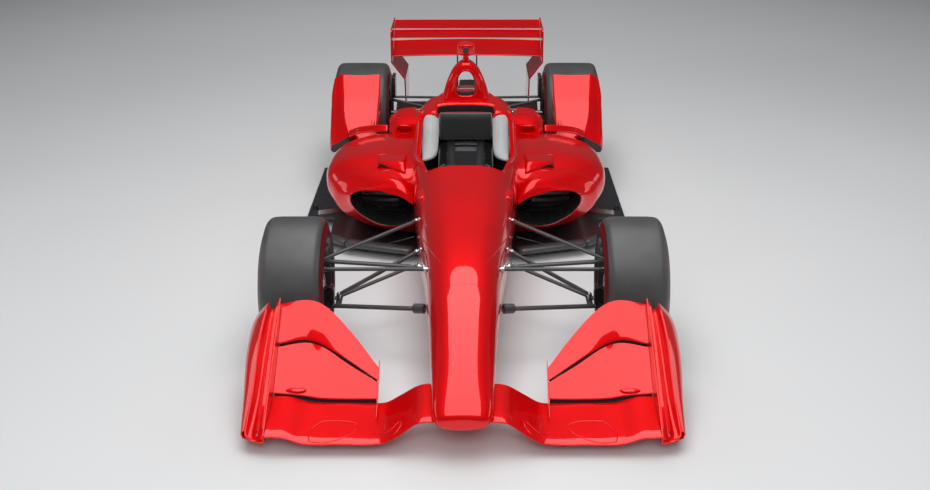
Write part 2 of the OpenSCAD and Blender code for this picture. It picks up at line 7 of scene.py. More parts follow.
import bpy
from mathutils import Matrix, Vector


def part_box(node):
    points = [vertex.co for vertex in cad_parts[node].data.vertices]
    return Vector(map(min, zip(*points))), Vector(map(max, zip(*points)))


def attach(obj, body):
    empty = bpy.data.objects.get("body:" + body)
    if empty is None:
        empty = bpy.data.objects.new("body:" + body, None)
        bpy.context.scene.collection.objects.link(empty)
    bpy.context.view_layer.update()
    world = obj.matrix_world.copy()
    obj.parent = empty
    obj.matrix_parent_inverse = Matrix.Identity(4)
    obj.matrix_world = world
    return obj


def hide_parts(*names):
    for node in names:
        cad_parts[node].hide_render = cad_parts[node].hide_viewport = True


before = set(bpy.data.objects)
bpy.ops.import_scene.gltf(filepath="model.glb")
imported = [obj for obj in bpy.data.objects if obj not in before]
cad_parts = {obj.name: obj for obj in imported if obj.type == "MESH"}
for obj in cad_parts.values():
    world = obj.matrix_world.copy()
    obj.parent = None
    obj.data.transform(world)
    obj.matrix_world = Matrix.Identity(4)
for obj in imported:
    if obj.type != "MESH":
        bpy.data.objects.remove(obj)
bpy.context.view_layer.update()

from math import atan2, cos, pi, radians, sin

import bmesh
import bpy
from mathutils import Matrix, Vector

# %% [markdown]
# Lengths on a racing car are given in millimetres and stations are counted from the front axle. Blender
# works in metres from the middle of the car, so one small function turns a maker's point into a Blender
# point. It finds the axle in the frame instead of repeating its place.

# %% Points in the maker's terms
FRONT_AXLE = sum(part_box("front_tyre_left"), Vector()) / 2
REAR_AXLE = sum(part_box("rear_tyre_left"), Vector()) / 2
FRONT_TYRE_R, REAR_TYRE_R = FRONT_AXLE.z * 1000, REAR_AXLE.z * 1000
FRONT_X, REAR_X = FRONT_AXLE.x * 1000, REAR_AXLE.x * 1000
WHEELBASE = (REAR_AXLE.y - FRONT_AXLE.y) * 1000


def mm(x, y, z):
    return Vector((x / 1000, FRONT_AXLE.y + y / 1000, z / 1000))


print("wheelbase", round(WHEELBASE), "mm, front track", round(2 * FRONT_X), "mm")

# %% [markdown]
# The camera looks down on the car's nose from just above head height. It stands well back with a longish
# lens, so that the wheels keep their true proportions.

# %% Camera
PITCH, YAW, ROLL = radians(21.457), radians(-0.363), radians(0.112)
lens = bpy.data.cameras.new("camera")
lens.lens, lens.sensor_width = 47.494, 36
camera = bpy.data.objects.new("camera", lens)
bpy.context.collection.objects.link(camera)
camera.matrix_world = (Matrix.Translation(mm(39.4, -5473.6, 2682.3)) @ Matrix.Rotation(-YAW, 4, "Z")
                       @ Matrix.Rotation(pi / 2 - PITCH, 4, "X") @ Matrix.Rotation(-ROLL, 4, "Z"))
bpy.context.scene.camera = camera
print("camera", [round(v, 3) for v in camera.location])

# %% [markdown]
# Glossy paint shows its surroundings, so the lights are large soft boxes, as in a car studio. The long one
# overhead draws the pale bands on the nose, the flaps and the ramps. The three fills light the paint but
# are not mirrored in it, so they draw no bands of their own. The world is a quiet grey.

# %% Lights and floor
def soft_box(name, place, target, size, power, mirrored=True):
    """A soft box; with mirrored=False it lights the paint but draws no band in it."""
    light = bpy.data.lights.new(name, "AREA")
    light.shape = "RECTANGLE"
    light.size, light.size_y = size
    light.energy = power
    lamp = bpy.data.objects.new(name, light)
    lamp.visible_glossy = mirrored
    bpy.context.collection.objects.link(lamp)
    aim = (Vector(target) - Vector(place)).to_track_quat("-Z", "Y")
    lamp.matrix_world = Matrix.Translation(place) @ aim.to_matrix().to_4x4()
    return lamp


soft_box("overhead", (0, -1.8, 5.4), (0, -1.8, 0), (4.6, 8.5), 272)
soft_box("top_fill", (0, -1.5, 7.5), (0, 0, 0), (5.0, 5.0), 160, mirrored=False)
soft_box("front_fill", (0, -10, 6.0), (0, -0.5, 0.3), (6.0, 4.0), 520, mirrored=False)
soft_box("back_fill", (0, 9, 7.0), (0, 0.5, 0.3), (8.0, 4.0), 300, mirrored=False)
soft_box("left_side", (7.5, 0, 2.6), (0, 0.3, 0.4), (6.0, 1.2), 40)
soft_box("right_side", (-7.5, 0, 2.6), (0, 0.3, 0.4), (6.0, 1.2), 40)

world = bpy.data.worlds.new("studio")
world.use_nodes = True
world.node_tree.nodes["Background"].inputs["Color"].default_value = (0.30, 0.31, 0.33, 1)
world.node_tree.nodes["Background"].inputs["Strength"].default_value = 0.25
bpy.context.scene.world = world
bpy.context.scene.view_settings.view_transform = "Standard"

floor_grid = bmesh.new()
bmesh.ops.create_grid(floor_grid, x_segments=2, y_segments=2, size=30)
floor_mesh = bpy.data.meshes.new("studio_floor")
floor_grid.to_mesh(floor_mesh)
floor_grid.free()
studio_floor = bpy.data.objects.new("studio_floor", floor_mesh)
bpy.context.collection.objects.link(studio_floor)

# %% [markdown]
# ## Finishes
# Several materials share an effect, such as the fine uneven gloss that any hand-finished surface has or
# the diagonal weave of carbon cloth. Each effect is a node group, built once, and every material gives it
# its own scale and strength. The groups only put out values, and the shader stays in the material.

# %% Group helper
def node_group(name, inputs, outputs):
    group = bpy.data.node_groups.new(name, "ShaderNodeTree")
    for label, value in inputs.items():
        socket = group.interface.new_socket(label, in_out="INPUT", socket_type="NodeSocketFloat")
        socket.default_value = value
    for label, kind in outputs.items():
        group.interface.new_socket(label, in_out="OUTPUT", socket_type=kind)
    return group, group.nodes.new("NodeGroupInput"), group.nodes.new("NodeGroupOutput")


def add(tree, kind, links=(), **settings):
    """Adds a node, sets its properties or input values and links outputs into its inputs."""
    node = tree.nodes.new(kind)
    for key, value in settings.items():
        if hasattr(node, key):
            setattr(node, key, value)
        else:
            node.inputs[key.replace("_", " ")].default_value = value
    for socket, source in links:
        tree.links.new(source, node.inputs[socket])
    return node


def math(tree, operation, a, b=0.0):
    node = tree.nodes.new("ShaderNodeMath")
    node.operation = operation
    for socket, value in zip(node.inputs, (a, b)):
        if isinstance(value, (int, float)):
            socket.default_value = value
        else:
            tree.links.new(value, socket)
    return node.outputs[0]


# %% [markdown]
# Uneven gloss is soft noise between two roughness values. Object coordinates keep its size true in metres
# on every piece.

# %% Uneven gloss group
gloss_group, g_in, g_out = node_group("uneven_gloss", {"Scale": 8, "Low": 0.2, "High": 0.3},
                                      {"Value": "NodeSocketFloat"})
place = add(gloss_group, "ShaderNodeTexCoord").outputs["Object"]
cloud = add(gloss_group, "ShaderNodeTexNoise", [("Vector", place), ("Scale", g_in.outputs["Scale"])],
            Detail=3.0, Roughness=0.6)
spread = add(gloss_group, "ShaderNodeMapRange", [
    ("Value", cloud.outputs["Fac"]), ("To Min", g_in.outputs["Low"]), ("To Max", g_in.outputs["High"])],
    From_Min=0.3, From_Max=0.7)
gloss_group.links.new(spread.outputs["Result"], g_out.inputs["Value"])
print("group", gloss_group.name)

# %% [markdown]
# Carbon cloth is a twill: bundles of fibre pass over and under each other in diagonal steps, so light and
# dark squares run in slanting lines. The steps come from whole-number arithmetic on the coordinates.

# %% Carbon weave group
weave_group, w_in, w_out = node_group("carbon_weave", {"Pitch": 250}, {
    "Mask": "NodeSocketFloat", "Height": "NodeSocketFloat"})
place = add(weave_group, "ShaderNodeTexCoord").outputs["Object"]
axes = add(weave_group, "ShaderNodeSeparateXYZ", [("Vector", place)])
along = math(weave_group, "MULTIPLY", math(weave_group, "ADD", axes.outputs["X"], axes.outputs["Z"]),
             w_in.outputs["Pitch"])
across = math(weave_group, "MULTIPLY", math(weave_group, "SUBTRACT", axes.outputs["Y"], axes.outputs["Z"]),
              w_in.outputs["Pitch"])
step = math(weave_group, "ADD", math(weave_group, "FLOOR", along), math(weave_group, "FLOOR", across))
over = math(weave_group, "LESS_THAN", math(weave_group, "FLOORED_MODULO", step, 4), 2)
bundle = math(weave_group, "PINGPONG", math(weave_group, "ADD", along, across), 0.5)
weave_group.links.new(over, w_out.inputs["Mask"])
weave_group.links.new(math(weave_group, "MULTIPLY", over, bundle), w_out.inputs["Height"])
print("group", weave_group.name)

# %% [markdown]
# A material starts as a Principled shader with plain numbers on its own sockets. The effects are then
# linked in where they vary over the surface: a colour between two shades, a roughness and a fine bump.

# %% Material helper
def finish_of(name, color, other=None, low=0.3, high=0.4, scale=8, bump=0.0, bump_scale=200, weave=0.0,
              **sockets):
    material = bpy.data.materials.new(name)
    material.use_nodes = True
    tree = material.node_tree
    shader = tree.nodes["Principled BSDF"]
    for label, value in sockets.items():
        shader.inputs[label.replace("_", " ")].default_value = value
    gloss = add(tree, "ShaderNodeGroup", node_tree=gloss_group, Scale=scale, Low=low, High=high)
    tree.links.new(gloss.outputs["Value"], shader.inputs["Roughness"])
    shade = add(tree, "ShaderNodeGroup", node_tree=gloss_group, Scale=scale * 0.6, Low=0.0, High=1.0)
    mix = add(tree, "ShaderNodeMix", [("Factor", shade.outputs["Value"])], data_type="RGBA")
    mix.inputs[6].default_value = (*color, 1)
    mix.inputs[7].default_value = (*(other or [c * 0.85 for c in color]), 1)
    tree.links.new(mix.outputs[2], shader.inputs["Base Color"])
    height = None
    if weave:
        cloth = add(tree, "ShaderNodeGroup", node_tree=weave_group, Pitch=weave)
        dark = add(tree, "ShaderNodeMix", [("Factor", cloth.outputs["Mask"])], data_type="RGBA",
                   blend_type="MULTIPLY")
        tree.links.new(mix.outputs[2], dark.inputs[6])
        dark.inputs[7].default_value = (0.35, 0.35, 0.38, 1)
        tree.links.new(dark.outputs[2], shader.inputs["Base Color"])
        height = cloth.outputs["Height"]
    elif bump:
        point = add(tree, "ShaderNodeTexCoord").outputs["Object"]
        grain = add(tree, "ShaderNodeTexNoise", [("Vector", point)], Scale=bump_scale, Detail=2.0)
        height = grain.outputs["Fac"]
    if height is not None:
        relief = add(tree, "ShaderNodeBump", [("Height", height)], Strength=bump or 0.1, Distance=0.001)
        tree.links.new(relief.outputs["Normal"], shader.inputs["Normal"])
    return material


# %% [markdown]
# The red is a deep, slightly metallic paint under clear lacquer. The lacquer gives the sharp reflections
# and the metallic base makes the colour fall off to a dark cherry where a surface turns away.

# %% Paint, carbon, rubber, metal and cloth
red_paint = finish_of("red_paint", (0.86, 0.0, 0.002), (0.78, 0.0, 0.002), low=0.42, high=0.48, scale=3,
                      bump=0.02, bump_scale=900, Metallic=0.6, Coat_Weight=1.0, Coat_Roughness=0.03,
                      Specular_IOR_Level=0.1)
carbon = finish_of("satin_carbon", (0.022, 0.022, 0.024), low=0.28, high=0.40, weave=260, bump=0.08,
                   Coat_Weight=0.5, Coat_Roughness=0.15)
smooth_black = finish_of("black_lacquer", (0.012, 0.012, 0.013), low=0.22, high=0.32, bump=0.03,
                         Coat_Weight=0.4, Coat_Roughness=0.12)
rubber = finish_of("slick_rubber", (0.045, 0.045, 0.046), (0.062, 0.061, 0.061), low=0.36, high=0.5,
                   scale=14, bump=0.2, bump_scale=700, Specular_IOR_Level=0.7)
side_rubber = finish_of("sidewall_rubber", (0.012, 0.012, 0.012), (0.018, 0.018, 0.018), low=0.38, high=0.5,
                        scale=20, bump=0.1, bump_scale=500)
red_band = finish_of("sidewall_red_band", (0.12, 0.003, 0.006), low=0.4, high=0.5, bump=0.1, bump_scale=500)
steel = finish_of("bright_steel", (0.62, 0.62, 0.64), (0.5, 0.5, 0.52), low=0.18, high=0.32, scale=30,
                  bump=0.05, bump_scale=900, Metallic=1.0)
cast_alloy = finish_of("cast_alloy", (0.45, 0.46, 0.48), (0.36, 0.37, 0.39), low=0.35, high=0.5, scale=20,
                       bump=0.3, bump_scale=600, Metallic=1.0)
dark_rim = finish_of("dark_magnesium", (0.045, 0.045, 0.05), low=0.3, high=0.42, scale=20, bump=0.1,
                     bump_scale=700, Metallic=0.6)
black_plastic = finish_of("black_plastic", (0.016, 0.016, 0.017), low=0.45, high=0.6, bump=0.3,
                          bump_scale=900)
grey_pad = finish_of("grey_pad", (0.36, 0.365, 0.37), (0.31, 0.315, 0.32), low=0.5, high=0.62, scale=12,
                     bump=0.15, bump_scale=1400, Sheen_Weight=0.3)
black_cloth = finish_of("black_cloth", (0.015, 0.015, 0.017), low=0.75, high=0.9, bump=0.4, bump_scale=1500,
                        Sheen_Weight=0.4)
webbing = finish_of("belt_webbing", (0.02, 0.02, 0.022), low=0.6, high=0.75, bump=0.5, bump_scale=1800,
                    Sheen_Weight=0.3)
satin_arm = finish_of("satin_carbon_arm", (0.045, 0.045, 0.048), low=0.3, high=0.4, scale=30, bump=0.1,
                      bump_scale=900, Specular_IOR_Level=0.8)
trim_alloy = finish_of("trim_alloy", (0.20, 0.20, 0.21), (0.16, 0.16, 0.17), low=0.3, high=0.4, scale=40,
                       bump=0.1, bump_scale=900, Metallic=0.9)
print(len(bpy.data.materials), "finishes")

# %% Floor finish
pale = finish_of("pale_studio_floor", (0.62, 0.625, 0.63), (0.58, 0.585, 0.59), low=0.55, high=0.7,
                 scale=0.4)
studio_floor.data.materials.append(pale)
print("floor finish", pale.name)

# %% [markdown]
# ## Shapes
# Bodywork is a loft: one outline after another along the car, joined by skin. In Blender that is a circle
# whose points are moved onto the first outline, and whose edge is then extruded to each next outline.
# Every outline has the same number of points, so the skin never twists.

# %% Loft helper
def loft(outlines, ends=True, around=False):
    bm = bmesh.new()
    first = bmesh.ops.create_circle(bm, segments=len(outlines[0]), radius=1)["verts"]
    ring = list(first)
    for vert, point in zip(ring, outlines[0]):
        vert.co = point
    for outline in outlines[1:]:
        members = set(ring)
        rim = {e for v in ring for e in v.link_edges if e.other_vert(v) in members}
        grown = bmesh.ops.extrude_edge_only(bm, edges=list(rim))["geom"]
        fresh = {g for g in grown if isinstance(g, bmesh.types.BMVert)}
        ring = [next(e.other_vert(v) for e in v.link_edges if e.other_vert(v) in fresh) for v in ring]
        for vert, point in zip(ring, outline):
            vert.co = point
    if around:
        bmesh.ops.bridge_loops(bm, edges=[e for e in bm.edges if e.is_boundary])
    elif ends:
        bmesh.ops.holes_fill(bm, edges=[e for e in bm.edges if e.is_boundary], sides=0)
    bmesh.ops.recalc_face_normals(bm, faces=bm.faces)
    return bm


# %% [markdown]
# A finished piece becomes an object at the origin, with its place in its mesh. It is shaded smooth with
# crisp edges, and it is told which body it rides on and which plain CAD nodes it stands for. A thin part is
# drawn as one skin and gets its wall from Solidify. Parts of one piece are merged into one mesh, and
# `paint` says which of the piece's finishes each part wears.

# %% Piece helper
def mirrored(bm):
    twin = bm.copy()
    bmesh.ops.scale(twin, vec=(-1, 1, 1), verts=twin.verts)
    bmesh.ops.reverse_faces(twin, faces=twin.faces)
    return twin


def piece(name, bm, finishes, slot, body, *nodes, crisp=35, rounding=0.0, wall=0.0, levels=0):
    bmesh.ops.remove_doubles(bm, verts=bm.verts, dist=1e-6)
    mesh = bpy.data.meshes.new(name)
    bm.to_mesh(mesh)
    bm.free()
    for material in finishes if isinstance(finishes, (list, tuple)) else [finishes]:
        mesh.materials.append(material)
    mesh.shade_smooth()
    mesh.set_sharp_from_angle(angle=radians(crisp))
    made = bpy.data.objects.new(name, mesh)
    bpy.context.collection.objects.link(made)
    if wall:
        skin = made.modifiers.new("wall", "SOLIDIFY")
        skin.thickness, skin.offset, skin.use_even_offset = wall / 1000, -1, True
    if rounding:
        edge = made.modifiers.new("rounding", "BEVEL")
        edge.width, edge.segments, edge.harden_normals = rounding / 1000, 3, True
        edge.limit_method, edge.angle_limit = "ANGLE", radians(40)
    if levels:
        smooth = made.modifiers.new("smooth", "SUBSURF")
        smooth.levels = smooth.render_levels = levels
    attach(made, body)
    if nodes:
        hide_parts(*nodes)
    return made


def pair(name, bm, finishes, slot, body, *nodes, **looks):
    """The same piece on the car's left side and, mirrored, on its right side."""
    twin = mirrored(bm)
    sides = []
    for side, shape in (("left", bm), ("right", twin)):
        where = body if body == "chassis" else f"{body}_{side}"
        sides.append(piece(f"{name}_{side}", shape, finishes, slot, where,
                           *[f"{node}_{side}" for node in nodes], **looks))
    return sides


def merged(*parts):
    whole = bmesh.new()
    for part in parts:
        mesh = bpy.data.meshes.new("part")
        part.to_mesh(mesh)
        part.free()
        whole.from_mesh(mesh)
        bpy.data.meshes.remove(mesh)
    return whole


def paint(bm, index):
    for face in bm.faces:
        face.material_index = index
    return bm


# finish, slot and body of the pieces that are red or black all over and stay still
RED, DARK = (red_paint, "red", "chassis"), (smooth_black, "carbon", "chassis")
print("piece helpers ready")


# %% [markdown]
# Openings are cut with a Boolean, as a moulder cuts a laminated shell with a template. The cutter is
# thrown away afterwards, and the cut walls may take a second finish.

# %% Carving helper
def carve(bm, *cutters):
    def as_object(shape):
        mesh = bpy.data.meshes.new("blank")
        shape.to_mesh(mesh)
        shape.free()
        blank = bpy.data.objects.new("blank", mesh)
        bpy.context.collection.objects.link(blank)
        for _ in range(3):
            mesh.materials.append(None)  # empty slots, so that each face keeps its finish's number
        return blank

    target = as_object(bm)
    blanks = [as_object(cutter) for cutter in cutters]
    for blank in blanks:
        cut = target.modifiers.new("cut", "BOOLEAN")
        cut.operation, cut.object, cut.solver = "DIFFERENCE", blank, "EXACT"
    done = target.evaluated_get(bpy.context.evaluated_depsgraph_get())
    result = bmesh.new()
    result.from_mesh(done.to_mesh())
    done.to_mesh_clear()
    for blank in [target, *blanks]:
        mesh = blank.data
        bpy.data.objects.remove(blank)
        bpy.data.meshes.remove(mesh)
    return result


# %% [markdown]
# Bodywork outlines are rounded rectangles: part circle, part box. One number says how square the upper
# half is and one the lower. The outlines between those in a table follow a smooth curve through them.

# %% Outline helpers
def bent(value, power):
    """A power that keeps the sign; a low one makes a circle squarer."""
    return (abs(value) ** power) * (1 if value >= 0 else -1)


def turns(count, offset=0.0):
    """Angles of evenly spread points, once round."""
    return [2 * pi * (i + offset) / count for i in range(count)]


def rounded_outline(y, w, z0, zm, z1, top, low, cx=0.0, points=72):
    outline = []
    for i in range(points):
        a = radians(360 * (i + 0.5) / points)
        e = top if sin(a) >= 0 else low
        half = z1 - zm if sin(a) >= 0 else zm - z0
        outline.append(mm(cx + w * bent(cos(a), 2 / e), y, zm + half * bent(sin(a), 2 / e)))
    return outline


def curve_through(table, y):
    """Smooth values between the rows of a table whose first column is the station."""
    last = len(table) - 1
    k = max(0, min(last - 1, sum(row[0] <= y for row in table) - 1))
    p1, p2 = table[k], table[k + 1]
    p0, p3 = table[max(k - 1, 0)], table[min(k + 2, last)]
    span = p2[0] - p1[0]
    t = (y - p1[0]) / span
    values = []
    for a, b, c, d in zip(p0[1:], p1[1:], p2[1:], p3[1:]):
        m1 = (c - a) / (p2[0] - p0[0]) * span
        m2 = (d - b) / (p3[0] - p1[0]) * span
        values.append((2 * t**3 - 3 * t**2 + 1) * b + (t**3 - 2 * t**2 + t) * m1
                      + (3 * t**2 - 2 * t**3) * c + (t**3 - t**2) * m2)
    return values


def stations(start, end, pitch):
    count = max(1, round((end - start) / pitch))
    return [start + (end - start) * i / count for i in range(count + 1)]


def fair_loft(table, pitch=25, start=None, end=None, outline=rounded_outline, **how):
    start = table[0][0] if start is None else start
    end = table[-1][0] if end is None else end
    return loft([outline(y, *curve_through(table, y), **how) for y in stations(start, end, pitch)])


# %% [markdown]
# ## Nose and tub
# The nose cone and the tub are one flowing shape that parts at a joint ahead of the front wheels. Both are
# cut from the same table, so the reflections run across the joint unbroken. Columns: station, half width,
# underside, height of the widest place, top, squareness above and below.

# %% Nose and tub
BODY = [
    (-1085, 70, 150, 168, 188, 2.2, 2.2), (-1082, 90, 143, 169, 198, 2.4, 2.25),
    (-1074, 106, 136, 172, 209, 2.5, 2.3), (-1050, 119, 127, 178, 229, 2.5, 2.4),
    (-1000, 128, 119, 190, 259, 2.4, 2.5), (-850, 136, 118, 215, 321, 2.4, 2.6),
    (-650, 147, 130, 260, 386, 2.5, 2.6), (-500, 157, 146, 295, 428, 2.5, 2.6),
    (-330, 168, 165, 330, 470, 2.6, 2.6), (-100, 186, 150, 345, 525, 2.6, 2.6),
    (150, 213, 130, 360, 564, 2.6, 2.6), (450, 242, 105, 370, 603, 2.7, 2.8),
    (750, 266, 85, 380, 630, 2.8, 3), (900, 279, 72, 390, 644, 3, 3.4), (1150, 296, 66, 400, 668, 3.6, 5),
    (1450, 302, 66, 420, 705, 4.2, 6), (1750, 302, 66, 440, 745, 4.2, 6), (1955, 302, 66, 440, 768, 3.8, 6)]
HOLLOW = [
    (-250, 140, 195, 320, 445, 2.8, 2.8), (-100, 158, 180, 330, 495, 2.8, 2.8),
    (450, 212, 135, 350, 572, 2.8, 2.8), (900, 250, 100, 380, 614, 3.2, 3.2),
    (1450, 276, 96, 400, 672, 4, 4), (1780, 276, 96, 400, 706, 4, 4)]
NOSE_TIP = [-1085, -1084, -1082, -1079, -1075, -1070, -1063, -1055]
NOSE_JOINT, TUB_END = -330, 1955

nose = loft([rounded_outline(y, *curve_through(BODY, y))
             for y in NOSE_TIP + stations(-1045, NOSE_JOINT - 1, 21)])
piece("nose_cone_shell", nose, *RED, "nose_cone", crisp=50)
print("nose ends at station", NOSE_JOINT)

# %% [markdown]
# The driver's opening is cut down through the tub's deck, and the tub is hollow behind its dashboard. The
# wall of the hollow is bare carbon. The table walks along the opening's left edge: step, half width,
# station. A rounded end then closes it behind the driver's head.

# %% Cockpit opening
OPENING = [
    (0, 0, 898), (1, 150, 898), (2, 190, 903), (3, 205, 920), (4, 214, 960), (5, 230, 1045), (6, 246, 1125),
    (7, 254, 1200), (8, 256, 1320), (9, 256, 1640)]
END_DEPTH, END_SQUARENESS = 130, 3


def opening_loop():
    """Blunt in front of the driver's hands, rounded behind the head: places and outward directions."""
    half = [curve_through(OPENING, t) for t in stations(0.1, 8.9, 0.25)]
    _, wide, end = OPENING[-1]
    half += [(wide * bent(cos(a), 2 / END_SQUARENESS), end + END_DEPTH * bent(sin(a), 2 / END_SQUARENESS))
             for a in stations(0.03, pi / 2 - 0.04, 0.08)]
    loop = half + [(-x, y) for x, y in reversed(half)]
    ways = []
    for (ax, ay), (bx, by) in zip(loop[-1:] + loop[:-1], loop[1:] + loop[:1]):
        size = ((bx - ax) ** 2 + (by - ay) ** 2) ** 0.5
        ways.append(((by - ay) / size, (ax - bx) / size))
    return [(*place, *way) for place, way in zip(loop, ways)]


def prism(outline, z0, z1):
    return loft([[mm(x, y, z) for x, y in outline] for z in (z0, z1)])


TIE_Y, TIE_Z, TIE_HOLE = -78.8, 438, 0.016
rod_hole = bmesh.new()
bmesh.ops.create_cone(rod_hole, segments=24, radius1=TIE_HOLE, radius2=TIE_HOLE, depth=1.4, cap_ends=True,
                      matrix=Matrix.Translation(mm(0, TIE_Y, TIE_Z)) @ Matrix.Rotation(pi / 2, 4, "Y"))
tub = carve(fair_loft(BODY, start=NOSE_JOINT, end=TUB_END, pitch=24), paint(fair_loft(HOLLOW), 1),
            paint(prism([p[:2] for p in opening_loop()], 540, 860), 1), paint(rod_hole, 1))
piece("tub_shell", tub, [red_paint, carbon], "red", "chassis", "tub", crisp=38)
print("cockpit opening", 2 * OPENING[-1][1], "mm wide")

# %% [markdown]
# ## Small tools for parts
# Most brackets, rods and turned parts come from four tools: a bevelled block, a bar between two points, a
# streamlined arm and a profile turned on a lathe. Each one starts from a simple shape and an operator gives
# it its form. A sheet is a grid whose rows are laid over the wanted surface.

# %% Blocks, bars, arms and turned parts
def block(x0, x1, y0, y1, z0, z1, edge=2.0, segments=2):
    bm = bmesh.new()
    low, high = mm(x0, y0, z0), mm(x1, y1, z1)
    place, size = Matrix.Translation((low + high) / 2), Matrix.Diagonal((*(high - low), 1))
    bmesh.ops.create_cube(bm, size=1, matrix=place @ size)
    bmesh.ops.bevel(bm, geom=bm.edges[:], offset=edge / 1000, segments=segments, profile=0.5, affect="EDGES",
                    material=-1)
    return bm


def bar(a, b, r, tip=None, sides=24, edge=0.0):
    a, b = mm(*a), mm(*b)
    turn = (b - a).to_track_quat("Z", "Y").to_matrix().to_4x4()
    bm = bmesh.new()
    bmesh.ops.create_cone(bm, segments=sides, radius1=r / 1000, radius2=(r if tip is None else tip) / 1000,
                          depth=(b - a).length, cap_ends=True, matrix=Matrix.Translation((a + b) / 2) @ turn)
    if edge:
        rims = [e for e in bm.edges if len(e.link_faces) == 2 and max(len(f.verts) for f in e.link_faces) > 4]
        bmesh.ops.bevel(bm, geom=rims, offset=edge / 1000, segments=2, profile=0.5, affect="EDGES",
                        material=-1)
    return bm


def ball(x, y, z, r, squash=(1, 1, 1)):
    bm = bmesh.new()
    bmesh.ops.create_icosphere(bm, subdivisions=3, radius=r / 1000,
                               matrix=Matrix.Translation(mm(x, y, z)) @ Matrix.Diagonal((*squash, 1)))
    return bm


ROUNDED_ENDS = ((0, 0.6), (0.03, 0.92), (0.07, 1), (0.93, 1), (0.97, 0.92), (1, 0.6))


def arm(a, b, chord, thick, steps=ROUNDED_ENDS):
    """A suspension arm, blunt in front and thin behind; each step is a share of the run and of the size."""
    a, b = mm(*a), mm(*b)
    run = (b - a).normalized()
    tail = (Vector((0, 1, 0)) - run * run.y).normalized()
    up = run.cross(tail)
    outlines = []
    for s, k in steps:
        outlines.append([a.lerp(b, s) + tail * (chord * k / 2000 * cos(t))
                         + up * (thick * k / 2000 * sin(t) * (1 - 0.3 * cos(t))) for t in turns(24)])
    return loft(outlines)


def turned(profile, centre, steps=96, axis=(1, 0, 0)):
    """Turns points (distance along the axis, radius) about an axis through the centre.

    A profile that starts on the axis makes a solid end; any other is closed into a ring."""
    closed = profile[0][1] > 0
    axis = Vector(axis).normalized()
    out = Vector((0, 0, 1)) if abs(axis.z) < 0.9 else Vector((0, 1, 0))
    out = (out - axis * out.dot(axis)).normalized()
    bm = bmesh.new()
    verts = [bm.verts.new(centre + axis * (s / 1000) + out * (r / 1000)) for s, r in profile]
    edges = [bm.edges.new(two) for two in zip(verts, verts[1:] + verts[:1] if closed else verts[1:])]
    bmesh.ops.spin(bm, geom=verts + edges, cent=centre, axis=axis, angle=2 * pi, steps=steps, use_merge=True)
    bmesh.ops.remove_doubles(bm, verts=bm.verts, dist=1e-6)
    bmesh.ops.recalc_face_normals(bm, faces=bm.faces)
    return bm


def sheet(rows):
    bm = bmesh.new()
    across, down = len(rows[0]), len(rows)
    bmesh.ops.create_grid(bm, x_segments=across - 1, y_segments=down - 1, size=1)
    order = sorted(bm.verts, key=lambda v: (round(v.co.y, 4), round(v.co.x, 4)))
    for vert, point in zip(order, [p for row in rows for p in row]):
        vert.co = point
    return bm


def plate(points, x0, x1):
    """A flat plate drawn as stations and heights, standing between two widths."""
    return loft([[mm(x, y, z) for y, z in points] for x in (x0, x1)])


print("tools ready")

# %% [markdown]
# ## Cockpit
# A raised lip runs round the opening, low in front of the driver's wheel and taller beside the head. It is
# a stack of loops that follow the opening's edge, each a little wider than the last. Columns: how far
# outside the edge, how high about it, and the share of the lip's height.

# %% Cockpit lip
def deck(x, y):
    w, _, zm, z1, top, _ = curve_through(BODY, y)
    return zm + (z1 - zm) * max(0.0, 1 - abs(x / w) ** top) ** (1 / top)


def ease(value, start, end):
    t = max(0.0, min(1.0, (value - start) / (end - start)))
    return t * t * (3 - 2 * t)


LIP = [
    (-1, -70, 0), (-1, -44, 0), (1, -34, 0), (7, -22, 0), (15, -8, 0.3), (22, 1, 0.7), (27, 4, 0.97),
    (31, 4, 1), (34, 2, 0.97), (38, -6, 0.8), (43, -24, 0.5), (48, -48, 0.2), (52, -80, 0), (44, -110, 0),
    (10, -100, 0)]


def lip_loop(spread, drop, rise):
    loop = []
    for x, y, out, back in opening_loop():
        tall, behind_head = ease(y, 940, 1250), ease(y, 1600, 1740)
        far = spread * (0.3 + 0.7 * tall) if spread > 0 else spread
        height = rise * (1 + 17 * tall * (1 - 0.75 * behind_head))
        loop.append(mm(x + far * out, y + far * back, deck(x, y) + (drop if drop < 0 else drop * tall)
                       + height))
    return loop


piece("cockpit_lip", loft([lip_loop(*row) for row in LIP], around=True), *RED, crisp=60)
print("lip of", len(LIP), "loops")

# %% [markdown]
# Behind the head pads the deck reaches in from both sides as two haunches that flow into the roll hoop.
# Each is a sheet laid over the opening's rear corner, with its front edge turned down over the pad.

# %% Haunches
HAUNCH_X, HAUNCH_WIDE, HAUNCH_Y, HAUNCH_LONG = 166, 118, 1650, 190


def haunch_point(u, s):
    """A point of the haunch, u across from the opening outwards and s along from the pad backwards."""
    y = HAUNCH_Y + HAUNCH_LONG * s ** 1.3
    front_edge = 30 * (1 - min(1.0, s * 5)) ** 2
    inner_edge = 26 * (1 - min(1.0, 7 * u)) ** 2
    return mm(HAUNCH_X + HAUNCH_WIDE * u, y + 8 * (1 - s) * u,
              deck(HAUNCH_X + HAUNCH_WIDE * u * 0.9, y) + 15 - front_edge - inner_edge)


haunch = [[haunch_point(i / 14, j / 14) for i in range(15)] for j in range(15)]
pair("deck_haunch", sheet(haunch), *RED, wall=4, crisp=60)
print("haunches over the rear corners")

# %% [markdown]
# A fine raised line runs forward along each side of the tub and inwards over the nose, and a small blister
# stands on the tub's flank beside the driver's knees. The line is a chain of short bars laid on the deck.

# %% Tub lines and blisters
CREASE = [(0, 236, 400), (1, 201, 204), (2, 167, 54), (3, 134, -64), (4, 104, -150)]


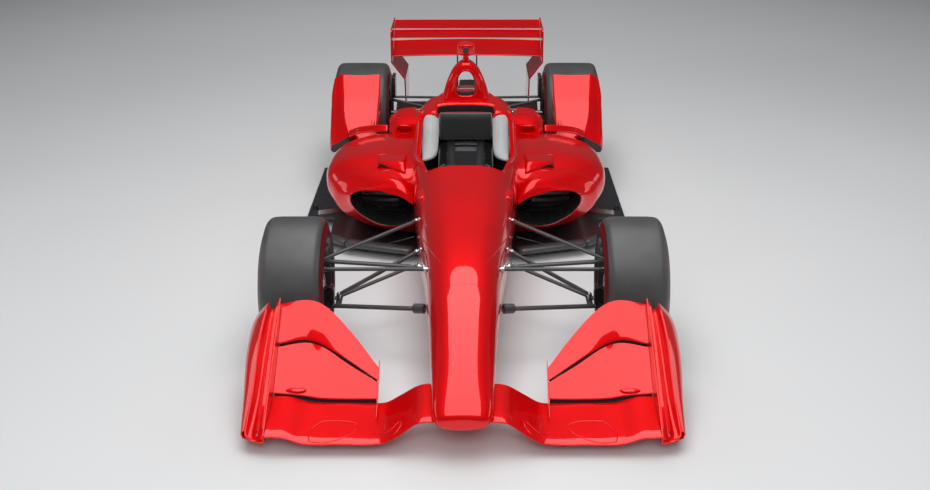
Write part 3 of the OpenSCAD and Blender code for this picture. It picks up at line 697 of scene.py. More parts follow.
def chain(points, height, sink_a, sink_b, radius, sides):
    """Bars from point to point, at a height found for each point and sunk a little into the skin."""
    return [bar((*a, height(*a) - sink_a), (*b, height(*b) - sink_b), radius, sides=sides)
            for a, b in zip(points, points[1:])]


crease = [curve_through(CREASE, t) for t in stations(0, 4, 0.25)]
blister = ball(226, 716, 543, 30, (0.9, 2.6, 0.5))
pair("tub_crease", merged(*chain(crease, deck, 1.5, 1.5, 4, 10), blister), *RED, crisp=60)
print("crease of", len(crease) - 1, "bars a side")

# %% [markdown]
# The head pad is foam under a smooth grey cover: a horseshoe round the driver's head. Its sleeve is lofted
# round the horseshoe a little too small, filled by a short cloth simulation with air pressure inside and
# then fixed. The foam swells until its movement reaches a cap, so that it stays in its place.

# %% Padding helper
def stuffed(name, bm, cap, pressure=4.0, voxel=6, frames=20):
    """Fills a closed sleeve by cloth simulation and returns the swollen shape."""
    bmesh.ops.remove_doubles(bm, verts=bm.verts, dist=1e-6)
    mesh = bpy.data.meshes.new(name)
    bm.to_mesh(mesh)
    bm.free()
    pad = bpy.data.objects.new(name, mesh)
    bpy.context.collection.objects.link(pad)
    remesh = pad.modifiers.new("even", "REMESH")
    remesh.mode, remesh.voxel_size = "VOXEL", voxel / 1000
    graph = bpy.context.evaluated_depsgraph_get()
    even = bpy.data.meshes.new_from_object(pad.evaluated_get(graph))
    pad.modifiers.clear()
    pad.data = even
    rest = [v.co.copy() for v in even.vertices]
    cloth = pad.modifiers.new("cloth", "CLOTH")
    cloth.settings.use_pressure = True
    cloth.settings.uniform_pressure_force = pressure
    cloth.settings.effector_weights.gravity = 0
    cloth.settings.quality = 5
    cloth.point_cache.frame_start, cloth.point_cache.frame_end = 1, frames
    for step_no in range(1, frames + 1):
        bpy.context.scene.frame_set(step_no)
    graph = bpy.context.evaluated_depsgraph_get()
    swollen = bpy.data.meshes.new_from_object(pad.evaluated_get(graph))
    pad.modifiers.clear()
    bpy.context.scene.frame_set(1)
    for vert, start, moved in zip(even.vertices, rest, swollen.vertices):
        shift = moved.co - start
        vert.co = start + shift * min(1.0, cap / 1000 / max(shift.length, 1e-9))
    shape = bmesh.new()
    shape.from_mesh(pad.data)
    bmesh.ops.smooth_vert(shape, verts=shape.verts, factor=0.5, use_axis_x=True, use_axis_y=True,
                          use_axis_z=True)
    bpy.data.objects.remove(pad)
    return shape


# %% Head pad
PAD_TOP = [(1246, 566), (1290, 582), (1350, 604), (1450, 642), (1560, 684), (1655, 718), (1735, 722)]
PAD_FOOT, PAD_OUTER, PAD_WIDE, PAD_TIP, PAD_ROUND = 554, 250, 84, 1246, 1350


def pad_outline(place, normal, half):
    (x, y), (nx, ny) = place, normal
    top, = curve_through(PAD_TOP, y)
    outline = []
    for a in turns(32, 0.5):
        out, rise = half * bent(cos(a), 0.4), bent(sin(a), 0.4) * (top - PAD_FOOT) / 2
        outline.append(mm(x + nx * out, y + ny * out, (top + PAD_FOOT) / 2 + rise))
    return outline


sleeve = []
for y in (1250, 1253, 1258, 1266, 1278, 1292, 1308, 1326, 1346, *stations(1368, 1728, 24)):
    tip = max(0.0, (PAD_ROUND - y) / (PAD_ROUND - PAD_TIP))
    inner = PAD_OUTER - PAD_WIDE * max(0.0, 1 - tip ** 2) ** 0.5
    sleeve.append(pad_outline(((PAD_OUTER + inner) / 2, y), (1, 0), (PAD_OUTER - inner) / 2))
side_pad = stuffed("side_pad_blank", loft(sleeve), cap=5, voxel=5)
cross_sleeve = [pad_outline((x, 1694), (0, -1), 34) for x in stations(-158, 158, 12)]
rear_pad = stuffed("rear_pad_blank", loft(cross_sleeve), cap=4, voxel=6)
pads = merged(mirrored(side_pad), side_pad, paint(rear_pad, 1))
head_pad = piece("head_pad", pads, [grey_pad, black_cloth], "padding", "chassis", "headrest", crisp=180,
                 levels=1)
print("head pad", [round(v, 3) for v in head_pad.dimensions])

# %% [markdown]
# The seat is a carbon bucket moulded to the driver's back, with two thin pads laid in it. The bucket is a
# sheet whose rows follow the seat's line and turn up at both sides, and it gets its wall from Solidify.

# %% Seat shell
SEAT = [
    (1062, 140, 30), (1150, 135, 50), (1250, 133, 70), (1350, 136, 88), (1440, 148, 104), (1510, 182, 116),
    (1570, 240, 122), (1630, 330, 118), (1690, 438, 96), (1742, 528, 60)]
SEAT_HALF, SEAT_POINTS = 164, 21


def seat_row(y, z, side, lift=0.0, width=1.0):
    """A row across the seat at a station: its height, how far its sides turn up, and a lift off the shell."""
    row, lean = [], ease(y, 1480, 1640)
    for i in range(SEAT_POINTS):
        u = (2 * i / (SEAT_POINTS - 1) - 1) * width
        up = side * abs(u) ** 3.2
        row.append(mm(SEAT_HALF * u, y - up * lean - lift * lean,
                      z + up * (1 - lean) + lift * (1 - 0.6 * lean)))
    return row


seat_rows = [seat_row(y, *curve_through(SEAT, y)) for y in stations(1062, 1742, 20)]
piece("seat_shell", sheet(seat_rows), carbon, "carbon", "chassis", "seat", wall=5, crisp=60)


def seat_pad(name, start, end, width):
    under, over = ([seat_row(y, *curve_through(SEAT, y), lift=lift, width=wide)
                    for y in stations(start, end, 14)]
                   for lift, wide in ((8, width), (24, width * 0.97)))
    around = [lower + upper[::-1] for lower, upper in zip(under, over)]
    made = piece(name, stuffed(f"{name}_blank", loft(around), cap=6, voxel=6), black_cloth, "padding",
                 "chassis", crisp=180, levels=1)
    return made


for name, start, end, width in (("seat_base_pad", 1110, 1440, 0.78), ("seat_back_pad", 1530, 1715, 0.72)):
    print(name, [round(v, 3) for v in seat_pad(name, start, end, width).dimensions])

# %% [markdown]
# Flat webbing is woven, thin and a little stiff, so each belt is a narrow sheet that follows the seat with
# a small thickness. The shoulder belts and the lap belts meet in a round buckle on the seat's base.

# %% Harness
def belt(points, half, wide):
    """A strap through points, lying flat across a width direction."""
    knots = [(i, *p) for i, p in enumerate(points)]
    line = [tuple(curve_through(knots, t)) for t in stations(0, len(points) - 1, 0.2)]
    side = Vector(wide).normalized() * (half / 1000)
    return sheet([[mm(*p) - side, mm(*p), mm(*p) + side] for p in line])


SHOULDER_BELT = [
    (92, 1738, 566), (90, 1690, 520), (82, 1600, 398), (64, 1500, 268), (40, 1410, 210), (12, 1345, 194)]
LAP_BELT = [(150, 1440, 246), (120, 1420, 204), (70, 1375, 190), (14, 1335, 192)]
for sign, side in ((1, "left"), (-1, "right")):
    for name, path, half, wide in (("shoulder", SHOULDER_BELT, 22, (1, 0, 0)),
                                   ("lap", LAP_BELT, 20, (0, 1, 0.25))):
        strap = belt([(sign * x, y, z) for x, y, z in path], half, wide)
        piece(f"{name}_belt_{side}", strap, webbing, "padding", "chassis", wall=2.4)
    adjuster = block(sign * 40 - 28, sign * 40 + 28, 1402, 1424, 208, 216, edge=3)
    piece(f"belt_adjuster_{side}", adjuster, steel, "metal", "chassis")
buckle = turned([(0, 0), (0, 26), (3, 30), (9, 30), (12, 26), (12, 12), (14, 10), (14, 0)],
                mm(0, 1330, 196), steps=40, axis=(0, -0.25, 1))
piece("harness_buckle", buckle, steel, "metal", "chassis", crisp=30)
print("four belts and a buckle")

# %% [markdown]
# ## Steering wheel
# A racing wheel is a flat carbon yoke with two moulded grips, knobs for the thumbs and shift paddles
# behind. It is drawn upright in front of the hub and then leaned back with the column.

# %% Steering wheel
HUB, TILT = (0, 1030, 540), radians(12)
HUB_Y, HUB_Z = HUB[1:]
YOKE = [
    (1, 40), (0.86, 60), (0.5, 52), (-0.5, 52), (-0.86, 60), (-1, 40), (-1, -44), (-0.7, -52), (-0.4, -34),
    (0.4, -34), (0.7, -52), (1, -44)]
GRIP = [
    (118, 62, 0.55), (126, 54, 0.9), (128, 36, 1), (125, 10, 1.0), (125, -16, 1.05), (128, -40, 1),
    (124, -60, 0.9), (114, -68, 0.55)]
DIALS = [
    (-84, 34, 7), (84, 34, 7), (-84, 8, 7), (84, 8, 7), (-62, -18, 9), (62, -18, 9), (-34, -20, 6),
    (34, -20, 6), (0, -22, 9)]


def on_column(bm):
    hub = mm(*HUB)
    bmesh.ops.rotate(bm, cent=hub, matrix=Matrix.Rotation(TILT, 3, "X"), verts=bm.verts)
    return bm


def grip(sign):
    return loft([[mm(sign * x + 13 * k * cos(t), HUB_Y + 16 + 12 * k * sin(t), HUB_Z + z) for t in turns(20)]
                 for x, z, k in GRIP])


def yoke_outline(y, inset):
    return [mm((112 - inset) * x, HUB_Y + y, HUB_Z + z - (inset if z > 0 else -inset)) for x, z in YOKE]


yoke = loft([yoke_outline(y, inset) for y, inset in ((8, 3), (10, 0), (22, 0), (24, 3))])
wheel_body = merged(yoke, paint(grip(1), 1), paint(grip(-1), 1))
dials = merged(*[turned([(0, 0), (0, r), (7, r), (9, r - 2), (9, 0)], mm(x, HUB_Y + 24, HUB_Z + z), steps=20,
                        axis=(0, 1, 0)) for x, z, r in DIALS])
screen = block(-52, 52, HUB_Y + 22, HUB_Y + 27, HUB_Z + 2, HUB_Z + 44, edge=2)
boss = turned([(0, 0), (0, 24), (10, 24), (12, 20), (12, 0)], mm(0, HUB_Y - 2, HUB_Z), steps=32,
              axis=(0, 1, 0))
paddles = merged(*[block(s * 78 - 30, s * 78 + 30, HUB_Y - 2, HUB_Y + 2, HUB_Z - 20, HUB_Z + 34, edge=1.5)
                   for s in (1, -1)], boss)
steering = merged(wheel_body, paint(dials, 2), paint(screen, 3), paint(paddles, 4))
piece("steering_yoke", on_column(steering), [carbon, black_cloth, red_band, smooth_black, steel], "carbon",
      "helm", "steering_wheel", crisp=40)

# %% [markdown]
# The dashboard is an arched panel under the deck. The column comes out of it in a thicker sleeve and ends
# at the wheel's hub.

# %% Dashboard
panel = loft([[mm(176 * cos(a), 905 + y, 486 + bent(sin(a), 0.55) * 78)
               for a in (pi * i / 24 for i in range(25))]
              for y in (-4, 0, 14, 18)])
column_end = (0, HUB_Y - 112 * cos(TILT), HUB_Z - 112 * sin(TILT))
column = merged(bar(column_end, (0, HUB_Y - 8, HUB_Z - 3), 12), bar(column_end, (0, 960, 525), 19, edge=3))
piece("dash_panel", merged(panel, paint(column, 1)), [carbon, steel], "carbon", "chassis",
      "dashboard", crisp=35)
print("steering wheel and dashboard in place")


# %% [markdown]
# ## Sidepods
# A sidepod is a duct with a smooth skin: air enters a wide mouth beside the driver and cools a radiator. Its
# outlines have a flat inner side against the tub and a rounded outer side, and its front is swept back.

# %% Sidepod outlines
POD_IN, SWEEP, SWEEP_END, POD_FRONT, POD_FULL = 300, 0.25, 1500, 1150, 1350
POD = [
    (1150, 690, 122, 262, 400, 3.0, 2), (1235, 742, 98, 270, 442, 2.7, 2), (1350, 782, 84, 295, 488, 2.5, 2),
    (1500, 828, 72, 330, 522, 2.6, 2), (1600, 843, 68, 348, 530, 2.6, 2.1),
    (1850, 836, 66, 350, 526, 2.6, 2.3), (2080, 798, 66, 330, 488, 2.6, 2.6),
    (2250, 764, 66, 290, 425, 2.8, 2.8)]
POD_TAIL = [
    (2200, 596, 66, 285, 450, 3.2, 3), (2252, 572, 66, 280, 436, 3.2, 3), (2500, 480, 66, 270, 400, 2.8, 3),
    (2720, 400, 66, 240, 350, 2.6, 3)]
SHOULDER = [
    (1960, 462, 300, 470, 574, 4, 3), (2050, 486, 300, 480, 606, 4, 3), (2200, 496, 300, 470, 600, 4, 3),
    (2400, 478, 290, 430, 556, 4, 3), (2560, 440, 270, 390, 508, 3.6, 3), (2700, 396, 250, 350, 440, 3.2, 3)]


def swept(x, y):
    return y + max(0.0, SWEEP * (x - POD_IN) * (SWEEP_END - y) / (SWEEP_END - POD_FRONT))


def pod_outline(y, x1, z0, zm, z1, top, low, inset=0.0, points=56):
    outline = []
    for i in range(points + 1):
        a = radians(-90 + 180 * i / points)
        e, half = (top, z1 - zm) if a >= 0 else (low, zm - z0)
        x = POD_IN + (x1 - inset - POD_IN) * bent(max(cos(a), 0), 2 / e)
        outline.append(mm(x, swept(x, y), zm + (half - inset) * bent(sin(a), 2 / e)))
    return outline


print("pod from station", POD_FRONT, "to", POD[-1][0])

# %% [markdown]
# The mouth's rim is drawn as a compass rose: an angle and a reach from the middle of the mouth. The first
# outlines of the skin are the rim itself, rolled over into a lip. Those behind it blend from the rim into
# the pod's full section, and the upper side rises first. The mouth is then carved with a cutter that
# follows the rim. The cut walls and the closed back of the duct are black: painted shade for the dark
# inside of the duct.

# %% Sidepod skin
RIM = [
    (-176, 211), (-161, 180), (-139, 133), (-103, 102), (-66, 97), (-37, 111), (-9, 152), (9, 186),
    (21, 187), (38, 152), (65, 110), (120, 100), (158, 154), (175, 196), (184, 211)]
CREST = [(0, 0), (0.08, 0.3), (0.2, 0.67), (0.26, 0.75), (1, 1)]
MOUTH = [
    (1060, 6, 1), (1149, 6, 1), (1152, 3, 1), (1157, 1, 1), (1168, 0, 1), (1240, -4, 1), (1300, -8, 0.98),
    (1400, -14, 0.95), (1470, -20, 0.9)]
MOUTH_X, MOUTH_Z = 480, 288
full_section = pod_outline(POD_FULL, *curve_through(POD, POD_FULL))


def mouth_point(angle, y, grow=0.0, size=1.0):
    r, = curve_through(RIM, angle)
    r = (r + grow) * size
    x = MOUTH_X + r * cos(radians(angle))
    return mm(x, swept(x, y), MOUTH_Z + r * sin(radians(angle)))


def pod_nose_outline(y, grow, blend):
    """The skin near the mouth: the mouth's own rim, growing into the pod's full section behind it."""
    here, outline = pod_outline(y, *curve_through(POD, y)), []
    brisk, = curve_through(CREST, max(0.0, min(1.0, (y - POD_FRONT) / (POD_FULL - POD_FRONT))))
    for i, (wide, full) in enumerate(zip(here, full_section)):
        angle = -158 + 324 * i / (len(here) - 1)
        over = ease(sin(radians(angle)), -0.1, 0.8) * ease(angle, 20, 75)
        point = mouth_point(angle, y, grow)
        crest = point.z + (full.z - point.z) * brisk
        point = point.lerp(wide, blend)
        point.z += (crest - point.z) * over
        point.x = max(point.x, POD_IN / 1000)
        outline.append(point)
    return outline


skin = [pod_nose_outline(POD_FRONT + d, grow, 0) for d, grow in ((0, 4), (1.5, 7.5), (5, 10.5), (10, 12.5))]
skin += [pod_nose_outline(y, 13 + (y - 1160) * 0.1, ease(y, POD_FRONT, 1345) ** 0.9) for y in
         (1160, 1168, 1176, 1183, 1190, 1196, 1202, 1209, 1220, 1235, *stations(1250, 1335, 17))]
skin += [pod_outline(y, *curve_through(POD, y)) for y in stations(POD_FULL, POD[-1][0], 25)]
mouth = loft([[mouth_point(-180 + 360 * (i + 0.5) / 72, y, grow, size) for i in range(72)]
              for y, grow, size in MOUTH])
# the cutter paints the duct's walls and closed back black: painted shade inside the duct
pod = carve(loft(skin), paint(mouth, 1))
tail = fair_loft(POD_TAIL, outline=pod_outline, pitch=30)
shoulder = fair_loft(SHOULDER, outline=pod_outline, pitch=24)
print("mouth from", round(MOUTH_X - RIM[0][1]), "to", round(MOUTH_X + RIM[8][1]), "mm")

# %% [markdown]
# Hot air leaves through gills on the raised shoulder. Each gill is a slot cut across the skin with a thin
# raised lip in front of it. The slot's walls and floor are black: painted shade for the dark inside of the
# pod. The shoulder has a small inlet of its own in its front face, inside a rolled lip.

# %% Gills and shoulder inlet
GILL = ((-26, 0.5), (-2, 8), (4, 8), (4, 5), (-4, 4), (-26, -3))
INLET = ((1930, 48, 6), (1962, 46, 5), (1970, 42, 2), (2020, 38, 0))
INLET_LIP = ((1976, 47, 7), (1958, 48, 8), (1953, 51, 11), (1955, 55, 15), (1966, 57, 17), (1984, 54, 13))


def upper_skin(x, section):
    """Height of the skin above a point of the width, in one row of a pod's table."""
    x1, _, zm, z1, top, _ = section
    return zm + (z1 - zm) * max(0.0, 1 - (max(x - POD_IN, 0) / (x1 - POD_IN)) ** top) ** (1 / top)


def shoulder_top(x, y):
    return upper_skin(x, curve_through(SHOULDER, y))


def inlet_outline(y, w, grow):
    return rounded_outline(y, w, 522 - grow, 538, 555 + grow, 4, 4, cx=386, points=40)


slots, gills = [], []
for y in stations(2090, 2410, 40):
    top = shoulder_top(380, y)
    # the black walls and floor of each slot are painted shade for the pod's dark inside
    slots.append(paint(block(330, 448, y, y + 20, top - 22, top + 30, edge=1), 1))
    gills.append(loft([[mm(x, y + dy, shoulder_top(x, y) + dz * k) for dy, dz in GILL]
                       for x, k in ((326, 0.2), (338, 1), (395, 1), (440, 1), (452, 0.2))]))
inlet = loft([inlet_outline(*row) for row in INLET])
inlet_lip = loft([inlet_outline(*row) for row in INLET_LIP], around=True)
shoulder = merged(carve(shoulder, *slots, inlet), inlet_lip)
pair("sidepod_skin", merged(pod, tail, shoulder, *gills), [red_paint, smooth_black], "red", "chassis",
     "sidepod", crisp=42)
print(len(gills), "gills a side")

# %% [markdown]
# The scoop on the pod's top is a low blister. A black sheet under its front lip is painted shade for the
# dark mouth of the scoop. The blister is one sheet whose height rises from nothing at the back to the lip
# at the front, thickened inwards.

# %% Top scoop
SCOOP_X, SCOOP_WIDE, SCOOP_FRONT, SCOOP_TAIL, SCOOP_TALL = 346, 172, 1300, 1512, 33


def pod_top(x, y):
    """Height of the pod's upper skin, found between swept outlines."""
    best = y
    for _ in range(6):
        best -= swept(x, best) - y
    return upper_skin(x, curve_through(POD, max(POD_FRONT, best)))


def scoop_front(x):
    return SCOOP_FRONT + 66 * ease(x, 350, 500)


def scoop_row(s, chamfer, tall):
    """Points across the blister: its chamfered front face first, then its top running down to the pod."""
    row = []
    for i in range(25):
        u = i / 24
        x = SCOOP_X + SCOOP_WIDE * u
        slope, side = 46 * (1 - ease(u, 0.1, 0.95)) + 3, min(1.0, 9 * u, 9 * (1 - u)) ** 0.5
        start = scoop_front(x)
        y = start + slope * chamfer if s == 0 else start + slope + (SCOOP_TAIL - start - slope) * s
        foot = 2 + 24 * ease(u, 0.3, 1)
        row.append(mm(x, y, pod_top(x, y) + 0.4 + side * (foot + (SCOOP_TALL - foot) * chamfer) * tall))
    return row


def scoop_shade_point(x, depth, tall):
    y = scoop_front(x) + 3 + depth
    return mm(x, y, pod_top(x, y) + 1 + tall * ease(x, 380, 518))


scoop_rows = [scoop_row(0, c, 1) for c in (0, 0.3, 0.6, 0.85, 1)]
scoop_rows += [scoop_row(s, 1, 1 - ease(s, -0.15, 1))
               for s in (0.02, 0.06, 0.12, 0.2, 0.3, 0.4, 0.5, 0.62, 0.74, 0.86, 1)]
# the black sheet under the scoop's lip is painted shade for the scoop's dark mouth
scoop_shade_rows = [[scoop_shade_point(x, *row) for x in stations(350, 514, 12)]
             for row in ((0, 0), (1, 12), (2, 24), (8, 26))]
pair("pod_scoop", sheet(scoop_rows), *RED, wall=3, crisp=30)
pair("scoop_mouth_shade", sheet(scoop_shade_rows), black_plastic, "carbon", "chassis", wall=1)
print("scoop from station", round(scoop_front(SCOOP_X)), "to", SCOOP_TAIL)

# %% [markdown]
# A radiator core is a stack of thin fins between flat tubes, and a few slats across the duct guide the air
# onto it. The fins are one block repeated at an even pitch.

# %% Radiator
fins = merged(*[block(398, 612, 1420, 1452, z, z + 4, edge=0.8, segments=1) for z in stations(216, 350, 7.5)])
tanks = merged(block(394, 406, 1416, 1456, 213, 357, edge=4), block(604, 616, 1416, 1456, 213, 357, edge=4))
slats = merged(*[arm((342, 1350, z), (662, 1394, z), 46, 5, steps=((0, 1), (1, 1)))
                 for z in (222, 262, 302, 342)])
pair("radiator_core", merged(fins, tanks, paint(slats, 1)), [cast_alloy, black_plastic], "carbon", "chassis",
     "radiator")
print("radiators in the ducts")

# %% [markdown]
# ## Engine cover and roll hoop
# The cover closes the car behind the driver and narrows to the tail. The hoop in front of it is a strong
# arch with an air intake through its eye. Its face is rounded over by drawing the first outlines smaller.

# %% Engine cover
COVER_FOOT = 85
COVER = [
    (1956, 300, 85, 768, 3.4), (2150, 300, 85, 752, 3.2), (2350, 298, 85, 706, 2.8),
    (2560, 286, 85, 632, 2.5), (2700, 254, 300, 590, 2.4), (2790, 228, 454, 566, 2.4),
    (3050, 165, 454, 528, 2.4), (3250, 122, 454, 502, 2.4)]


def cover_outline(y, w, z0, z1, e, wall=12, points=48):
    z0 = max(z0, COVER_FOOT)
    angles = [pi * i / points for i in range(points + 1)]
    outer = [mm(w * bent(cos(a), 2 / e), y, z0 + (z1 - z0) * bent(max(sin(a), 0), 2 / e)) for a in angles]
    inner = [mm((w - wall) * bent(cos(a), 2 / e), y, z0 + (z1 - wall - z0) * bent(max(sin(a), 0), 2 / e))
             for a in reversed(angles)]
    return outer + inner


piece("engine_cover_skin", fair_loft(COVER, outline=cover_outline, pitch=26), *RED, "engine_cover", crisp=45)
print("cover ends at station", COVER[-1][0])

# %% Roll hoop and intake
EYE_HALF, EYE_FOOT, EYE_MIDDLE, EYE_TOP = 54, 790, 826, 934


def hoop_outline(y, inset):
    return [mm((162 - inset) * cos(a), y, 560 + (436 - inset) * sin(a)) for a in
            (radians(18 + 144 * i / 60) for i in range(61))]


def eye_outline(y, grow):
    return rounded_outline(y, EYE_HALF + grow, EYE_FOOT - grow, EYE_MIDDLE, EYE_TOP + grow, 2.3, 3.0,
                           points=48)


hoop = loft([hoop_outline(1850 + d, i) for d, i in ((0, 30), (3, 20), (9, 10), (18, 4), (32, 0), (78, 0),
                                                    (94, 3), (102, 8), (105, 14))])
eye = loft([eye_outline(y, grow) for y, grow in ((1830, 6), (1850, 6), (1856, 2), (1866, 0), (1936, 0),
                                                 (1948, 3), (1965, 6))])
eye_lip = loft([eye_outline(1851 + d, grow) for grow, d in ((4, 6), (4, 0), (6, -4), (9, -6), (13, -5),
                                                            (16, 0), (17, 8), (10, 12))], around=True)
piece("roll_hoop_arch", merged(carve(hoop, paint(eye, 1)), eye_lip), [red_paint, smooth_black], "red",
      "chassis", "roll_hoop", crisp=40)
print("hoop eye", 2 * EYE_HALF, "mm wide")

# %% Camera housing
drum_foot = mm(0, 1903, 1030)
drum = turned([(0, 0), (0, 44), (3, 49), (8, 52), (58, 52), (65, 50), (69, 44), (70, 36), (70, 0)], drum_foot,
              axis=(0, 0, 1))
stem = turned([(-40, 0), (-40, 24), (-30, 20), (-16, 17), (0, 18), (3, 22), (3, 0)], drum_foot, steps=48,
              axis=(0, 0, 1))
window = turned([(0, 0), (0, 15), (3, 18), (7, 18), (9, 15), (5, 12), (5, 0)], mm(0, 1846, 1066), steps=40,
                axis=(0, 1, 0))
piece("camera_drum", merged(drum, stem, paint(window, 1)), [red_paint, smooth_black], "red", "chassis",
      "camera_pod", crisp=35)

# %% [markdown]
# ## Ramps ahead of the rear tyres
# Each ramp lifts the air over a rear tyre. Its top is a smooth upswept face with a raised band along the
# outer edge, so its outline has extra points where the band stands up.

# %% Ramps
RAMP = [
    (2254, 580, 405, 764, 398, 890, 352, 300), (2330, 583, 450, 794, 452, 903, 416, 305),
    (2400, 586, 491, 812, 496, 906, 462, 310), (2480, 586, 539, 824, 544, 910, 518, 316),
    (2535, 586, 573, 827, 577, 912, 553, 321), (2562, 586, 594, 829, 597, 912, 574, 325),
    (2600, 584, 633, 834, 635, 914, 615, 330), (2680, 582, 718, 841, 718, 902, 698, 340)]


def ramp_outline(y, xi, zi, xr, zr, xo, zo, zl):
    shape = [
        (xi + 3, 66), (xr - 34, 66), (xr - 30, 72), (xr - 24, zl - 8), (xr - 17, zl), (xo - 14, zl),
        (xo - 7, zl + 4), (xo - 4, zl + 12)]
    shape += [(xo - 4 + 5 * sin(pi * k / 5), zl + 12 + (zo - 42 - zl) * k / 5) for k in range(1, 6)]
    shape += [(xo - 4 - 26 * (1 - cos(a)), zo - 30 + 34 * sin(a))
              for a in (pi / 2 * k / 6 for k in range(1, 7))]
    shape += [(xo - 30 - (xo - xr - 34) * k / 4, zo + 4 + (zr - zo + 5) * k / 4) for k in range(1, 5)]
    shape += [(xr - 2, zr + 5), (xr - 8, zr - 1)]
    shape += [(xr - 8 - (xr - xi - 28) * k / 8, zr - 1 + (zi + 1 - zr) * k / 8 - 5 * sin(pi * k / 8))
              for k in range(1, 9)]
    shape += [(xi + 9, zi - 1), (xi + 3, zi - 6), (xi, zi - 16)]
    shape += [(xi, zi - 16 + (90 - zi + 16) * k / 4) for k in range(1, 5)]
    return [mm(x, y, z) for x, z in shape]


ramp = fair_loft(RAMP, outline=ramp_outline, pitch=18)
for face in ramp.faces:
    face.material_index = int(face.normal.y < -0.9 or face.normal.z < -0.7)
pair("tyre_ramp", ramp, [red_paint, smooth_black], "red", "chassis", "wheel_ramp", crisp=32)
print("ramps from station", RAMP[0][0], "to", RAMP[-1][0])

# %% [markdown]
# A ridge crosses the pod's top ahead of each ramp, and three upright strakes stand behind it. The ridge is
# a sheet: one profile, drawn again and again along a curve.

# %% Ridges and strakes
RIDGE = [
    (0, 764, 2222, 424), (1, 700, 2168, 462), (2, 620, 2118, 488), (3, 548, 2084, 502), (4, 500, 2070, 506)]
RIDGE_PROFILE = ((-16, -6), (-4, 2), (8, 20), (14, 25), (22, 27), (50, 18), (90, -16))
ridge = [[mm(x, y + dy, z + dz) for dy, dz in RIDGE_PROFILE]
         for x, y, z in (curve_through(RIDGE, t) for t in stations(0, 4, 0.25))]
pair("pod_ridge", sheet(ridge), *RED, wall=4, crisp=40)
strakes = [plate([(2150, 452), (2300, 452), (2300, 500 + 3 * k), (2190, 500 + 3 * k)], x, x + 3)
           for k, x in enumerate((584, 600, 616))]
pair("ramp_strakes", merged(*strakes), *RED, rounding=1)
print(len(strakes), "strakes a side")

# %% [markdown]
# ## Floor
# The floor is a stiff carbon plank. Its front edges are rolled into smooth lips that turn the air under the
# car, and a thin stay braces it to the tub. A bright upturned flap lies on each corner beside the pod, with
# a round fitting behind it, and a flat duct plate stands inside each rear wheel.

# %% Floor, lips and corner flaps
floor_low, floor_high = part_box("floor")
FLOOR = [
    (0, 1000), (280, 1080), (430, 1130), (700, 1215), (806, 1300), (815, 1650), (985, 1664), (985, 2660),
    (540, 2670), (540, 2720), (0, 2720)]
plan = FLOOR + [(-x, y) for x, y in FLOOR[-2:0:-1]]
slab = loft([[mm(x, y, z) for x, y in plan] for z in (floor_low.z * 1000, floor_high.z * 1000)])
piece("floor_plank", slab, carbon, "carbon", "chassis", "floor", rounding=4)
lips = merged(arm((300, 1096, 66), (696, 1222, 66), 96, 40), arm((690, 1219, 66), (800, 1310, 66), 80, 38))
flap = sheet([[mm(760 + 168 * u, 1754 - 59 * u + 31 * s, 62 + 24 * s) for u in (i / 10 for i in range(11))]
              for s in (j / 6 for j in range(7))])
fitting = turned([(0, 0), (0, 17), (4, 19), (14, 19), (17, 16), (17, 9), (13, 8), (13, 0)],
                 mm(950, 1800, 72), steps=36, axis=(0, -1, 0.4))
stay = bar((467, 1190, 66), (292, 1075, 160), 4)
pair("floor_lip", lips, satin_arm, "carbon", "chassis")
pair("corner_flap", flap, trim_alloy, "metal", "chassis", wall=3)
pair("floor_fitting", merged(fitting, stay), *DARK, crisp=30)
pair("rear_duct_plate", block(502, 526, 2950, 3096, 482, 632, edge=6, segments=3), *DARK)
print("floor", round((floor_high.x - floor_low.x) * 1000), "mm wide")


# %% [markdown]
# ## Wings
# A wing element is a thin aerofoil whose chord and angle change along the span. Its outline follows the
# usual four-digit thickness curve, bent down in the middle because a racing wing pushes the car down.

# %% Aerofoil outline
def half_thickness(s, thick):
    """Half the thickness at a share s of the chord, both as shares of the chord."""
    return 0.004 + 5 * thick * (0.2969 * s**0.5 - 0.126 * s - 0.3516 * s**2 + 0.2843 * s**3 - 0.1036 * s**4)


def foil(x, le, te, camber, thick, points=22):
    (ly, lz), (dy, dz) = le, (te[0] - le[0], te[1] - le[1])

    def at(s, side):
        v = side * half_thickness(s, thick) - 4 * camber * s * (1 - s)
        return mm(x, ly + dy * s - dz * v, lz + dz * s + dy * v)

    steps = [(1 - cos(pi * i / points)) / 2 for i in range(points + 1)]
    return [at(s, 1) for s in steps] + [at(s, -1) for s in reversed(steps)]


def wing(table, camber, thick, pitch=14):
    """Lofts an element from rows of span, leading edge and trailing edge."""
    rows = [(x, *curve_through(table, x)) for x in stations(table[0][0], table[-1][0], pitch)]
    return loft([foil(x, (ly, lz), (ty, tz), camber, thick) for x, ly, lz, ty, tz in rows])


print("aerofoil", round(200 * half_thickness(0.3, 0.1), 1), "percent thick")

# %% [markdown]
# The front wing is one main plane, dipped on both sides of the nose, and two flaps a side above and behind
# it. Columns: span, leading edge station and height, trailing edge station and height. A thin black strip
# in each slot is painted shade for the shadow in the gap between two elements.

# %% Front wing planes
PLANE_CAMBER, PLANE_THICK, FLAP_CAMBER, FLAP_THICK = 0.02, 0.07, 0.012, 0.05
MAIN = [
    (0, -1005, 132, -745, 168), (115, -1042, 156, -768, 190), (188, -1050, 152, -768, 182),
    (267, -1052, 96, -768, 136), (340, -1054, 60, -766, 96), (520, -1054, 56, -766, 94),
    (660, -1054, 58, -766, 98), (745, -1052, 84, -768, 124), (822, -1050, 88, -768, 128)]
FLAP_ONE = [
    (372, -762, 110, -708, 164), (500, -762, 108, -640, 214), (620, -762, 112, -565, 262),
    (700, -762, 126, -536, 272), (822, -762, 138, -566, 266)]
FLAP_TWO = [
    (372, -704, 170, -660, 212), (471, -651, 216, -545, 292), (569, -596, 256, -460, 368),
    (645, -553, 279, -418, 412), (716, -535, 286, -412, 426), (822, -564, 278, -420, 408)]


